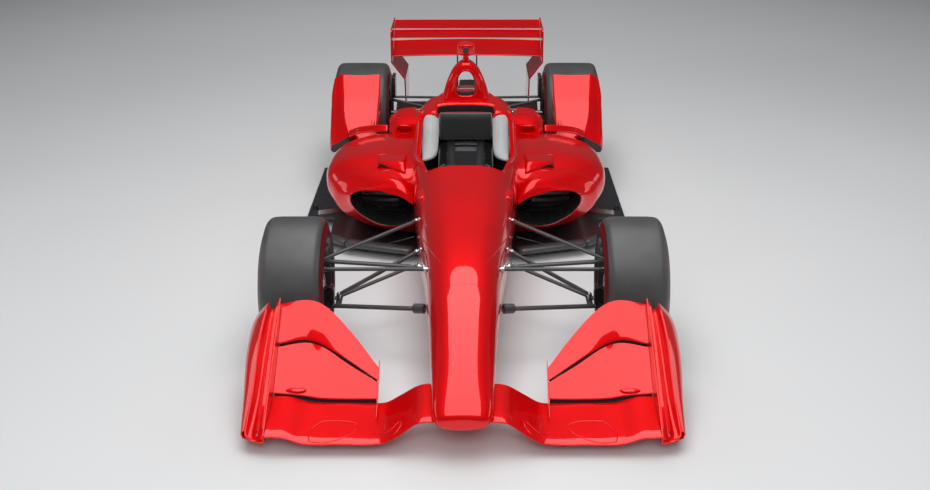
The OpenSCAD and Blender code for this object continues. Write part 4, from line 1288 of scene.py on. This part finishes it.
def slot_shade_strip(lower, upper):
    """A thin black strip in the slot between one element's tail and the next one's nose: painted shade for
    the gap.
    """
    rows = []
    for x in stations(376, 818, 26):
        (_, _, ty, tz), (ly, lz, _, _) = curve_through(lower, x), curve_through(upper, x)
        rows.append([mm(x, ty + 3, tz - 7), mm(x, (ty + ly) / 2 + 10, (tz + lz) / 2 - 4),
                     mm(x, ly + 10, lz - 1)])
    return sheet(rows)


half_plane = wing(MAIN, PLANE_CAMBER, PLANE_THICK)
plane = merged(mirrored(half_plane), half_plane)
piece("front_main_plane", plane, *RED, "front_wing_main", crisp=50)
flaps = merged(*[wing(table, FLAP_CAMBER, FLAP_THICK) for table in (FLAP_ONE, FLAP_TWO)])
pair("front_flap_pair", flaps, *RED, "front_flaps", crisp=50)
# the black strips in the slots are painted shade for the gaps between the elements
slot_shade_strips = merged(slot_shade_strip(MAIN, FLAP_ONE), slot_shade_strip(FLAP_ONE, FLAP_TWO))
pair("wing_slot_shade_strips", slot_shade_strips, *DARK, wall=2)
inner_fence = plate([(-905, 100), (-862, 92), (-780, 108), (-706, 150), (-655, 196), (-640, 238), (-668, 232),
                     (-740, 186), (-790, 138), (-850, 120)], 366, 370)
bump = ball(728, -742, 144, 20, (2.4, 1.0, 0.5))
pair("flap_fence", merged(inner_fence, bump), *RED, rounding=1)
print("front wing spans", round(2 * MAIN[-1][0]), "mm between the fences")

# %% [markdown]
# Two shapes are moulded into the top of the main plane on each side: a raised oval line and a raised
# crescent. Both are chains of short bars laid on the plane, whose height comes from the aerofoil.

# %% Raised lines on the main plane
OVAL = [
    (637, -1040), (643, -985), (602, -904), (550, -896), (497, -899), (453, -915), (446, -949), (486, -1008),
    (564, -1044)]
CRESCENT = [(366, -985), (330, -1000), (296, -985), (262, -962), (258, -1000), (285, -1034), (322, -1042)]


def plane_top(x, y):
    ly, lz, ty, tz = curve_through(MAIN, x)
    s = (y - ly) / (ty - ly)
    return lz + (tz - lz) * s + (ty - ly) * (half_thickness(s, PLANE_THICK) - 4 * PLANE_CAMBER * s * (1 - s))


def bead(points):
    knots = [(i, *p) for i, p in enumerate(points)]
    run = [curve_through(knots, t) for t in stations(0, len(points) - 1, 0.25)]
    return chain(run, plane_top, 0.4, 0.6, 3.2, 8)


beads = bead(OVAL + OVAL[:1]) + bead(CRESCENT)
pair("plane_beads", merged(*beads), *RED, crisp=60)
print(len(beads), "bars a side in the raised lines")

# %% [markdown]
# The outer end of the front wing is a tall vane that bows outwards and curls back in at its top. It stands
# on a flat foot, beside a straight fence that closes the flaps' ends. A hollowed roof joins the fence's top
# to the vane's.

# %% Front wing ends
VANE = [
    (-1005, 922, 928, 918, 92), (-850, 912, 940, 900, 205), (-650, 915, 960, 896, 335),
    (-500, 920, 968, 886, 404), (-425, 922, 968, 880, 418)]


VANE_FRONT, VANE_FOOT, FENCE_FOOT, FENCE_IN, FENCE_OUT = -1005, 56, 55, 823, 829
FENCE_TOP = [(-1050, 95), (-840, 210), (-650, 314), (-420, 438)]
FOOT = (
    (824, -1050), (870, -1034), (918, -1005), (912, -930), (910, -850), (912, -640), (916, -425),
    (824, -425))


def vane_outline(y, foot, wide, top, z1, wall=6, points=14):
    middle = []
    for u in (i / points for i in range(points + 1)):
        bow = (wide - (foot + top) / 2) * sin(pi * u ** 1.6)
        middle.append((foot + (top - foot) * u + bow, VANE_FOOT + (z1 - VANE_FOOT) * u))
    return [mm(x, y, z) for x, z in middle] + [mm(x - wall, y, z) for x, z in reversed(middle)]


def roof_row(y):
    """From the fence's top to the vane's top, sagging between them; in front it comes down to the foot."""
    _, _, rim, tall = curve_through(VANE, max(y, VANE_FRONT))
    top, = curve_through(FENCE_TOP, y)
    far, risen = min(rim - 5, 918 + (y - VANE_FRONT) * 1.2), ease(y, -1046, -990)
    row = []
    for u in (i / 12 for i in range(13)):
        sag = 26 * sin(pi * max(0.0, u - 0.25) / 0.75)
        row.append(mm(FENCE_OUT + (far - FENCE_OUT) * u, y,
                      64 + (top - 76 + (tall + 4 - top) * u - sag) * risen))
    return row


vane = fair_loft(VANE, outline=vane_outline, pitch=20)
fence = plate([(-1050, FENCE_FOOT), *FENCE_TOP, (-420, FENCE_FOOT)], FENCE_IN, FENCE_OUT)
foot = loft([[mm(x, y, z) for x, y in FOOT] for z in (55, 63)])
pair("front_wing_end", merged(vane, fence, foot), *RED, "front_endplate", rounding=1.2)
roof = [roof_row(y) for y in (-1040, -1028, -1014, -1000, *stations(-985, -425, 20))]
pair("wing_end_roof", sheet(roof), *RED, wall=2, crisp=40)
print("vane", round(VANE[-1][4]), "mm tall")

# %% [markdown]
# The rear wing has a main plane and two flaps between tall end plates. The end plates step inwards below
# the planes, and slots in their upper corners let the pressure even out.

# %% Rear wing
WING_HALF = 556


def rear_plane(le, te, lift, camber=0.07, thick=0.1):
    """An element between the end plates, lifted a little in the middle of its span."""
    rows = []
    for x in stations(-WING_HALF, WING_HALF, 40):
        up = lift * (1 - (x / WING_HALF) ** 2)
        rows.append(foil(x, (le[0], le[1] + up), (te[0], te[1] + up), camber, thick))
    return loft(rows)


piece("rear_main_plane", rear_plane((3590, 636), (3786, 716), 12), *RED, "rear_wing_main", crisp=50)
rear_flaps = merged(rear_plane((3778, 736), (3882, 778), 2), rear_plane((3870, 790), (3976, 838), 0))
piece("rear_flap_pair", rear_flaps, *RED, "rear_wing_flaps", crisp=50)


def endplate_outline(z, wall=10):
    x = 461 + 96 * max(0.0, min(1.0, (z - 474) / 126))
    front = 3540 + 100 * max(0.0, (480 - z) / 240) + max(0.0, z - 830)
    edge = (front, 3700, 3860, 4035)
    return [mm(x, y, z) for y in edge] + [mm(x + wall, y, z) for y in reversed(edge)]


heights = [240, 300, 380, 460, 474, 500, 537, 574, 600, 640, 720, 800, 830, 842]
ends = loft([endplate_outline(z) for z in heights])
vents = [paint(block(540, 590, 3572 + 6 * k, 3700 - 10 * k, 768 + 20 * k, 775 + 20 * k, edge=1), 1)
         for k in range(3)]
pair("rear_end_plate", carve(ends, *vents), [red_paint, smooth_black], "red", "chassis", "rear_endplate",
     rounding=1.5, crisp=30)
pylon = [
    (3540, 332), (3556, 420), (3578, 530), (3600, 634), (3658, 646), (3718, 654), (3708, 560), (3696, 440),
    (3690, 332)]
piece("wing_pylons", merged(plate(pylon, 67, 77), plate(pylon, -77, -67)), *DARK, "rear_wing_pylons",
      rounding=3)
print("rear wing", 2 * WING_HALF, "mm wide")

# %% [markdown]
# ## Wheels
# A tyre is turned on a lathe from one profile: a flat slick tread, a round shoulder, a bulged sidewall with
# a moulded rib and a bead that grips the rim. Faces take the tread, wall or band rubber by where they lie.

# %% Tyres
BEAD_IN = 25
WHEELS = (("front", FRONT_AXLE, FRONT_TYRE_R, 305, -126), ("rear", REAR_AXLE, REAR_TYRE_R, 384, -140))


def tyre_profile(r, w):
    bead = w / 2 - BEAD_IN
    half = [(0, r), (w / 4, r - 0.3), (w / 2 - 66, r - 1.2)]
    half += [(w / 2 - 52 + 40 * sin(a), r - 42 + 40 * cos(a)) for a in (radians(v) for v in range(0, 91, 9))]
    half += [(w / 2 - 8, r - 52), (w / 2 - 4.4, r - 60), (w / 2 - 1.6, r - 68), (w / 2 - 0.4, r - 72),
             (w / 2, r - 74), (w / 2, r - 80), (w / 2 - 1.4, r - 82), (w / 2 - 1.6, r - 94),
             (w / 2 - 3.5, r - 106)]
    lower = r - 106 - 208
    half += [(w / 2 - 9, 208 + lower * 0.55), (w / 2 - 16, 208 + lower * 0.2), (bead + 2, 206), (bead, 203),
             (bead, 191), (bead - 2, 190), (bead - 16, 190), (w / 2 - 34, r - 90), (w / 2 - 32, r - 60),
             (w / 2 - 44, r - 34), (w / 2 - 70, r - 22), (0, r - 20)]
    return half + [(-s, rad) for s, rad in half[-2:0:-1]]


def tyre(centre, r, w):
    bm = turned(tyre_profile(r, w), centre, steps=128)
    for face in bm.faces:
        middle = face.calc_center_median() - centre
        out, radius = abs(middle.x) * 1000, Vector((0, middle.y, middle.z)).length * 1000
        if out > w / 2 - 14 and radius < r - 22:
            face.material_index = 2 if r - 73 < radius < r - 42 else 1
    return bm


for end, centre, r, w, _ in WHEELS:
    pair(f"{end}_slick", tyre(centre, r, w), [rubber, side_rubber, red_band], "tyre", f"{end}_wheel",
         f"{end}_tyre", crisp=50)
    print(end, "tyre", round(2 * r), "mm across,", w, "mm wide")

# %% [markdown]
# The rim is a turned barrel with ten forged spokes, a hub and one large hexagonal nut. Behind it turns the
# carbon brake disc with its rows of cooling holes, drawn as flush black plugs: painted shade for the dark
# inside of each hole. Each spoke is one loft, turned about the axle ten times.
# Columns of the spoke: distance from the axle, half width, and how far its two faces stand off the rim's
# middle face.

# %% Rims and discs
SPOKE = (
    (40, 17, -2, 20), (70, 13, 0, 19), (110, 9, 2, 18), (145, 9, 2, 17), (162, 13, 0, 18), (171, 20, -4, 20))


def about_axle(make, count, centre):
    parts = []
    for i in range(count):
        bm = make()
        bmesh.ops.rotate(bm, cent=centre, matrix=Matrix.Rotation(2 * pi * i / count, 3, "X"), verts=bm.verts)
        parts.append(bm)
    return merged(*parts)


def block_at(centre, s0, s1, r0, r1, half):
    bm = bmesh.new()
    place = Matrix.Translation(centre + Vector((s0 + s1, 0, r0 + r1)) / 2000)
    size = Matrix.Diagonal(((s1 - s0) / 1000, half * 2 / 1000, (r1 - r0) / 1000, 1))
    bmesh.ops.create_cube(bm, size=1, matrix=place @ size)
    return bm


def rim(centre, w, shaft_in):
    bead, face = w / 2 - BEAD_IN, w / 2 - 85
    edge = bead + 12
    barrel = [
        (-edge, 180), (-edge, 201), (-edge + 1, 203), (-bead - 1, 203), (-bead - 0.3, 202),
        (-bead - 0.3, 190), (-bead + 25, 189), (-bead + 48, 177), (bead - 48, 177), (bead - 25, 189),
        (bead + 0.3, 190), (bead + 0.3, 202), (bead + 1, 203), (edge - 1, 203), (edge, 201), (edge, 180),
        (edge - 4, 177), (bead - 20, 171), (bead - 55, 167), (-bead + 55, 167), (-bead + 10, 173),
        (-edge + 4, 178)]

    def at(s, out, side):
        return centre + Vector((s, side, out)) / 1000

    def spoke():
        return loft([[at(face + (back + front) / 2 + (front - back) / 2 * bent(sin(t), 0.6), out,
                         half * bent(cos(t), 0.6)) for t in turns(16)] for out, half, back, front in SPOKE])

    def hole(radius):
        def make():
            bm = bmesh.new()
            bmesh.ops.create_cone(bm, segments=8, radius1=0.0035, radius2=0.0035, depth=0.0264, cap_ends=True,
                                  matrix=Matrix.Translation(at(-55, radius, 0))
                                  @ Matrix.Rotation(pi / 2, 4, "Y"))
            return bm
        return make

    hub = turned([(face - 12, 0), (face - 12, 58), (face - 8, 62), (face + 16, 62), (face + 22, 56),
                  (face + 22, 0)], centre)
    nut = turned([(face + 20, 0), (face + 20, 35), (face + 44, 35), (face + 49, 30), (face + 50, 22),
                  (face + 50, 17), (face + 40, 15), (face + 40, 0)], centre, steps=6)
    shaft = turned([(shaft_in, 0), (shaft_in, 30), (face, 30), (face, 0)], centre, steps=48)
    weights = about_axle(lambda: block_at(centre, -edge - 1.5, -edge + 0.5, 191, 197, 11), 16, centre)
    disc = turned([(-68, 78), (-68, 138), (-66, 140), (-59, 140), (-58, 136), (-52, 136), (-51, 140),
                   (-44, 140), (-42, 138), (-42, 78)], centre)
    bell = turned([(-64, 30), (-64, 80), (-46, 80), (-40, 72), (-40, 30)], centre, steps=64)
    # black plugs in the disc: painted shade for the dark inside of the cooling holes
    holes = merged(*[about_axle(hole(radius), 30, centre) for radius in (96, 110, 124)])
    return merged(turned(barrel, centre), about_axle(spoke, 10, centre), hub, paint(nut, 1), paint(shaft, 1),
                  paint(weights, 1), paint(disc, 2), paint(bell, 1), paint(holes, 3))


for end, centre, _, w, shaft_in in WHEELS:
    pair(f"{end}_wheel_rim", rim(centre, w, shaft_in), [dark_rim, steel, smooth_black, black_plastic], "rim",
         f"{end}_wheel", f"{end}_rim", crisp=35)
print("four rims with discs")

# %% [markdown]
# ## Front corners
# The upright carries the wheel between two ball joints. It is a machined casting: a bearing barrel, a post
# along the steering axis, an arm for the tie rod and a caliper clamped over the disc.

# %% Front uprights
KP_LOW, KP_HIGH = (FRONT_X - 95, -10, 220), (FRONT_X - 107, 12, 446)


def kp_at(z):
    s = (z - KP_LOW[2]) / (KP_HIGH[2] - KP_LOW[2])
    return tuple(a + (b - a) * s for a, b in zip(KP_LOW, KP_HIGH))


def bearing(centre, r):
    return turned([(-128, 31), (-128, r - 6), (-124, r), (-116, r), (-114, r - 4), (-100, r - 4), (-98, r),
                   (-90, r), (-86, r - 5), (-86, 31)], centre, steps=64)


def caliper(x, axle_y, axle_z):
    body = block(x - 96, x - 28, axle_y + 98, axle_y + 144, axle_z - 60, axle_z + 60, edge=9, segments=3)
    window = block(x - 78, x - 40, axle_y + 80, axle_y + 142, axle_z - 70, axle_z + 70, edge=2)
    caps = [turned([(0, 0), (0, 17), (3, 17), (5, 14), (5, 0)], mm(x - 98, axle_y + 118, axle_z + dz),
                   steps=28) for dz in (-32, 6, 40)]
    return merged(carve(body, window), *caps)


tie_x, tie_y, _ = kp_at(TIE_Z)
tie_y -= 90
upright = merged(bearing(FRONT_AXLE, 54), bar(kp_at(236), kp_at(429), 20, edge=3),
                 bar(kp_at(206), kp_at(458), 8, edge=1),
                 block(tie_x - 12, tie_x + 16, tie_y - 11, kp_at(424)[1], 412, 424, edge=4),
                 bar((tie_x, tie_y, 420), (tie_x, tie_y, 448), 5, edge=1),
                 block(FRONT_X - 110, FRONT_X - 86, 30, 110, FRONT_TYRE_R - 30, FRONT_TYRE_R + 30, edge=5))
pair("front_upright", merged(upright, paint(caliper(FRONT_X, 0, FRONT_TYRE_R), 1)),
     [cast_alloy, smooth_black], "alloy", "knuckle", "front_knuckle", crisp=35)
print("front corners at", round(FRONT_X), "mm from the middle")

# %% [markdown]
# Air for the front brakes enters a small carbon scoop ahead of the upright. A curved shield beside it keeps
# the air on the disc. It ends above and below where the arms and the tie rod pass at full lock.

# %% Brake scoops and shields
BRAKE_DUCT = (
    (-118, 8, 50), (-148, 9, 60), (-150, 12, 64), (-146, 13, 65), (-120, 13, 64), (-90, 12, 58),
    (-62, 9, 50))
brake_scoop = loft([[mm(FRONT_X - 163 + 2.1 * w * bent(cos(t), 0.6), y, 322 + 0.78 * h * bent(sin(t), 0.6))
                     for t in turns(28, 0.5)] for y, w, h in BRAKE_DUCT])


def shield(x, inner_step, axle_y, axle_z, radii, angles):
    """Part of a flat ring round the axle, its inner edge stepped sideways; one row for each angle."""
    return sheet([[mm(x + inner_step * (k == 0), axle_y + r * cos(a), axle_z + r * sin(a))
                   for k, r in enumerate(radii)] for a in (radians(angle) for angle in angles)])


front_shield = shield(FRONT_X - 134, 4, 0, FRONT_TYRE_R, (62, 90, 120, 150, 157), stations(143, 232, 89 / 16))
pair("brake_scoop", brake_scoop, smooth_black, "carbon", "knuckle", "front_brake_duct", crisp=40)
pair("brake_shield", front_shield, smooth_black, "carbon", "knuckle", wall=3, crisp=40)
print("scoops and shields on the knuckles")

# %% [markdown]
# ## Suspension arms
# The arms are carbon blades, blunt in front and thin behind, because they stand in the airflow. Each inner
# end screws into a bright steel rod end with a lock nut.

# %% Arms with rod ends
def blade(a, b, chord, thick, neck=34):
    """A blade from a to b whose last stretch is a steel rod end."""
    run = (Vector(b) - Vector(a)).normalized()
    b_end = Vector(b) - run * neck
    collar = Vector(b) - run * (neck + 9)
    lock_nut = bar(b_end, b_end + run * 9, thick * 0.66, sides=6)
    link = merged(bar(b_end - run * 4, b, thick * 0.42), lock_nut, ball(*(Vector(b) - run * 8), thick * 0.62))
    cap = bar(collar - run * 8, b_end, thick * 0.62, edge=1.5)
    return merged(arm(a, collar, chord, thick), cap, paint(link, 1))


def eye_at(x, y, z, r, bore, half, axis=(0, 0, 1)):
    return turned([(-half, bore), (-half, r - 2), (-half + 2, r), (half - 2, r), (half, r - 2), (half, bore)],
                  mm(x, y, z), steps=40, axis=axis)


def from_eye(eye, inner, radius=15):
    """Where an arm that points at an inner end leaves its eye."""
    run = (Vector(inner) - Vector(eye)).normalized()
    return tuple(Vector(eye) + run * radius)


HIGH_EYE, LOW_EYE = 446, 220
ARMS = (
    (HIGH_EYE, (186, -50, 437), 34, 18, 34), (HIGH_EYE, (226, 421, 509), 30, 16, 34),
    (LOW_EYE, (184, -195, 284), 34, 18, 20), (LOW_EYE, (240, 326, 300), 30, 16, 34))
kingpin = Vector(KP_HIGH) - Vector(KP_LOW)
eyes = [paint(eye_at(*kp_at(z), 17, 8.1, 9, axis=kingpin), 1) for z in (HIGH_EYE, LOW_EYE)]
arms = [blade(from_eye(kp_at(z), inner), inner, chord, thick, neck) for z, inner, chord, thick, neck in ARMS]
pivot = turned([(0, 0), (0, 19), (4, 24), (52, 24), (58, 19), (58, 0)], mm(184, -195, 284), steps=40,
               axis=(1, 0.35, -0.12))
foot_plate = block(597, 627, -50, 66, 226, 238, edge=3)
knee = merged(bar((612, 18, 232), (612, 18, 258), 9, edge=2), ball(612, 18, 264, 13))
pushrod = blade((612, 18, 264), (207, 148, 452), 24, 20)
front_arms = merged(*eyes, *arms, pivot, foot_plate, paint(knee, 1), pushrod)
pair("front_arms", front_arms, [satin_arm, steel], "carbon", "chassis", "front_suspension", crisp=38)
print(len(arms), "arms and a pushrod a side")

# %% [markdown]
# The rack is a steel bar with a tie rod on each end, and all of it slides sideways together. Each rod is
# drawn from the middle outwards: ball joint, nut, carbon tube, nut, neck and eye.

# %% Steering rack and tie rods
def rack_bar(x0, x1, radius, finish=1, **shape):
    return paint(bar((x0, TIE_Y, TIE_Z), (x1, TIE_Y, TIE_Z), radius, **shape), finish)


rack_parts = [rack_bar(-132, 132, 14, edge=2)]
for s in (-1, 1):
    rack_parts += [rack_bar(s * 132, s * 180, 9), rack_bar(s * 178, s * 192, 12, sides=6),
                   rack_bar(s * 190, s * (tie_x - 30), 9.5, finish=0),
                   rack_bar(s * (tie_x - 44), s * (tie_x - 30), 12, sides=6),
                   rack_bar(s * (tie_x - 32), s * (tie_x - 15), 8),
                   paint(eye_at(s * tie_x, TIE_Y, TIE_Z, 19, 12, 7), 1)]
piece("rack_and_tie_rods", merged(*rack_parts), [satin_arm, steel], "metal", "rack", "steering_rack",
      crisp=38)
print("tie rods reach", round(tie_x), "mm")

# %% [markdown]
# ## Rear corners
# The rear has the same blades, a taller upright, a driveshaft with rubber boots and a toe link. The toe
# link stops the wheel from turning about its vertical pin.

# %% Rear arms and uprights
PIN_X = REAR_X - 95


def behind(x, y, z):
    return (x, WHEELBASE + y, z)


def rear_wishbone(z, front, rear):
    eye = behind(PIN_X, 0, z)
    return [paint(eye_at(*eye, 20, 8.1, 11), 1), blade(from_eye(eye, behind(*front), 17), behind(*front), 34,
                                                       18),
            blade(from_eye(eye, behind(*rear), 17), behind(*rear), 30, 16)]


toe = behind(PIN_X, 95, 262)
rear_arms = merged(*rear_wishbone(470, (118, -220, 418), (118, 170, 418)),
                   *rear_wishbone(215, (119, -270, 190), (118, 130, 190)),
                   block(585, 615, WHEELBASE - 42, WHEELBASE + 20, 206, 218, edge=3),
                   paint(ball(*behind(600, -30, 218), 13), 1),
                   blade(behind(600, -30, 218), behind(118, -120, 425), 24, 20),
                   paint(eye_at(*toe, 14, 6.1, 7), 1),
                   blade(from_eye(toe, behind(114, 220, 215), 12), behind(114, 220, 215), 24, 14))
pair("rear_arms", rear_arms, [satin_arm, steel], "carbon", "chassis", "rear_suspension", crisp=38)
post = block(PIN_X - 14, PIN_X + 14, WHEELBASE - 22, WHEELBASE + 22, 228, 457, edge=6, segments=3)
rear_upright = merged(bearing(REAR_AXLE, 58), post, bar(behind(PIN_X, 0, 200), behind(PIN_X, 0, 485), 8,
                                                        edge=1),
                      block(PIN_X - 14, PIN_X + 14, WHEELBASE, WHEELBASE + 108, 232, 250, edge=4),
                      bar(behind(PIN_X, 95, 234), behind(PIN_X, 95, 276), 6, edge=1),
                      block(REAR_X - 110, REAR_X - 86, WHEELBASE + 30, WHEELBASE + 110, REAR_TYRE_R - 30,
                            REAR_TYRE_R + 30, edge=5))
pair("rear_upright_casting", merged(rear_upright, paint(caliper(REAR_X, WHEELBASE, REAR_TYRE_R), 1)),
     [cast_alloy, smooth_black], "alloy", "chassis", "rear_upright", crisp=35)
rear_shield = shield(REAR_X - 150, -3, WHEELBASE, REAR_TYRE_R, (70, 100, 130, 158),
                     stations(130, 230, 100 / 14))
pair("rear_brake_shield", rear_shield, *DARK, wall=3)
print("rear corners at", round(REAR_X), "mm from the middle")

# %% [markdown]
# The driveshaft is a plain steel bar between two rubber boots, whose folds are steps in a turned profile.

# %% Driveshafts with boots
shaft_end = 130 - REAR_X
boot = [(0, 0), (0, 42), (3, 42), (6, 40)]
boot += [(8 + k * 3.4, 38 - k * 1.7 + (2.5 if k % 2 else -1)) for k in range(12)] + [(50, 15), (50, 0)]
inner_boot, outer_boot = [(shaft_end + s, r) for s, r in boot], [(-140 - s, r) for s, r in boot]
shaft = [(shaft_end + 45, 0), (shaft_end + 45, 15), (-185, 15), (-185, 0)]
shafts = merged(*[paint(turned(profile, REAR_AXLE, steps=48), index)
                  for profile, index in ((inner_boot, 1), (outer_boot, 1), (shaft, 0))])
pair("driveshaft_assembly", shafts, [steel, black_plastic], "metal", "chassis", "driveshaft", crisp=30)
print("driveshafts from", round(REAR_X + shaft_end), "mm outwards")

# %% [markdown]
# ## Gearbox and tail
# The gearbox casing carries the rear suspension and the wing. It is a tapering casting with stiffening
# ribs, and behind it a carbon box crushes in an impact and carries the rain light, with a hole for the
# starter's shaft.

# %% Gearbox
CASE = [
    (2562, 108, 112, 300, 478, 6, 6), (2900, 108, 112, 290, 440, 6, 6), (3100, 104, 180, 310, 440, 6, 6),
    (3300, 98, 246, 330, 438, 6, 6), (3500, 90, 312, 356, 400, 6, 6)]
case = fair_loft(CASE, pitch=40)
ribs = []
for y in (2600, 2720, 2860, 3000, 3180, 3340, 3480):
    w, z0, zm, z1, _, _ = curve_through(CASE, y)
    ribs.append(loft([rounded_outline(y + d, w + grow, z0 - grow, zm, z1 + grow, 6, 6)
                      for d, grow in ((-5, -1), (-4, 4), (4, 4), (5, -1))]))
flange_at = Vector((0, *REAR_AXLE.yz))
flanges = [turned([(s * 92, 0), (s * 92, 50), (s * 114, 50), (s * 117, 46), (s * 117, 0)], flange_at,
                  steps=48) for s in (1, -1)]
piece("gearbox_casing", merged(case, *ribs, *flanges), cast_alloy, "metal", "chassis", "gearbox", crisp=40)
print("gearbox with", len(ribs), "ribs")

# %% Tail box
TAIL = [
    (3502, 65, 312, 356, 398, 7, 7), (3506, 65, 312, 356, 398, 7, 7), (3894, 64, 325, 355, 385, 6, 6),
    (3900, 60, 329, 355, 381, 6, 6)]
starter = bmesh.new()
bmesh.ops.create_cone(starter, segments=32, radius1=0.016, radius2=0.016, depth=0.16, cap_ends=True,
                      matrix=Matrix.Translation(mm(0, 3920, 355)) @ Matrix.Rotation(pi / 2, 4, "X"))
tail_box = carve(loft([rounded_outline(y, *row, points=48) for y, *row in TAIL]), paint(starter, 1))
lamps = merged(*[block(s * 40 - 17, s * 40 + 17, 3898, 3904, 333, 377, edge=2) for s in (1, -1)])
piece("tail_box", merged(tail_box, paint(lamps, 2)), [carbon, black_plastic, red_band], "carbon", "chassis",
      "rear_attenuator", crisp=40)
print("tail box ends at", TAIL[-1][0])

# %% [markdown]
# The engine block and the diffuser keep their plain CAD shapes, so they only get a finish.

# %% Engine and diffuser finish
for node, finish in (("engine", cast_alloy), ("diffuser", carbon)):
    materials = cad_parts[node].data.materials
    materials.clear()
    materials.append(finish)
    print(node, "in", finish.name)
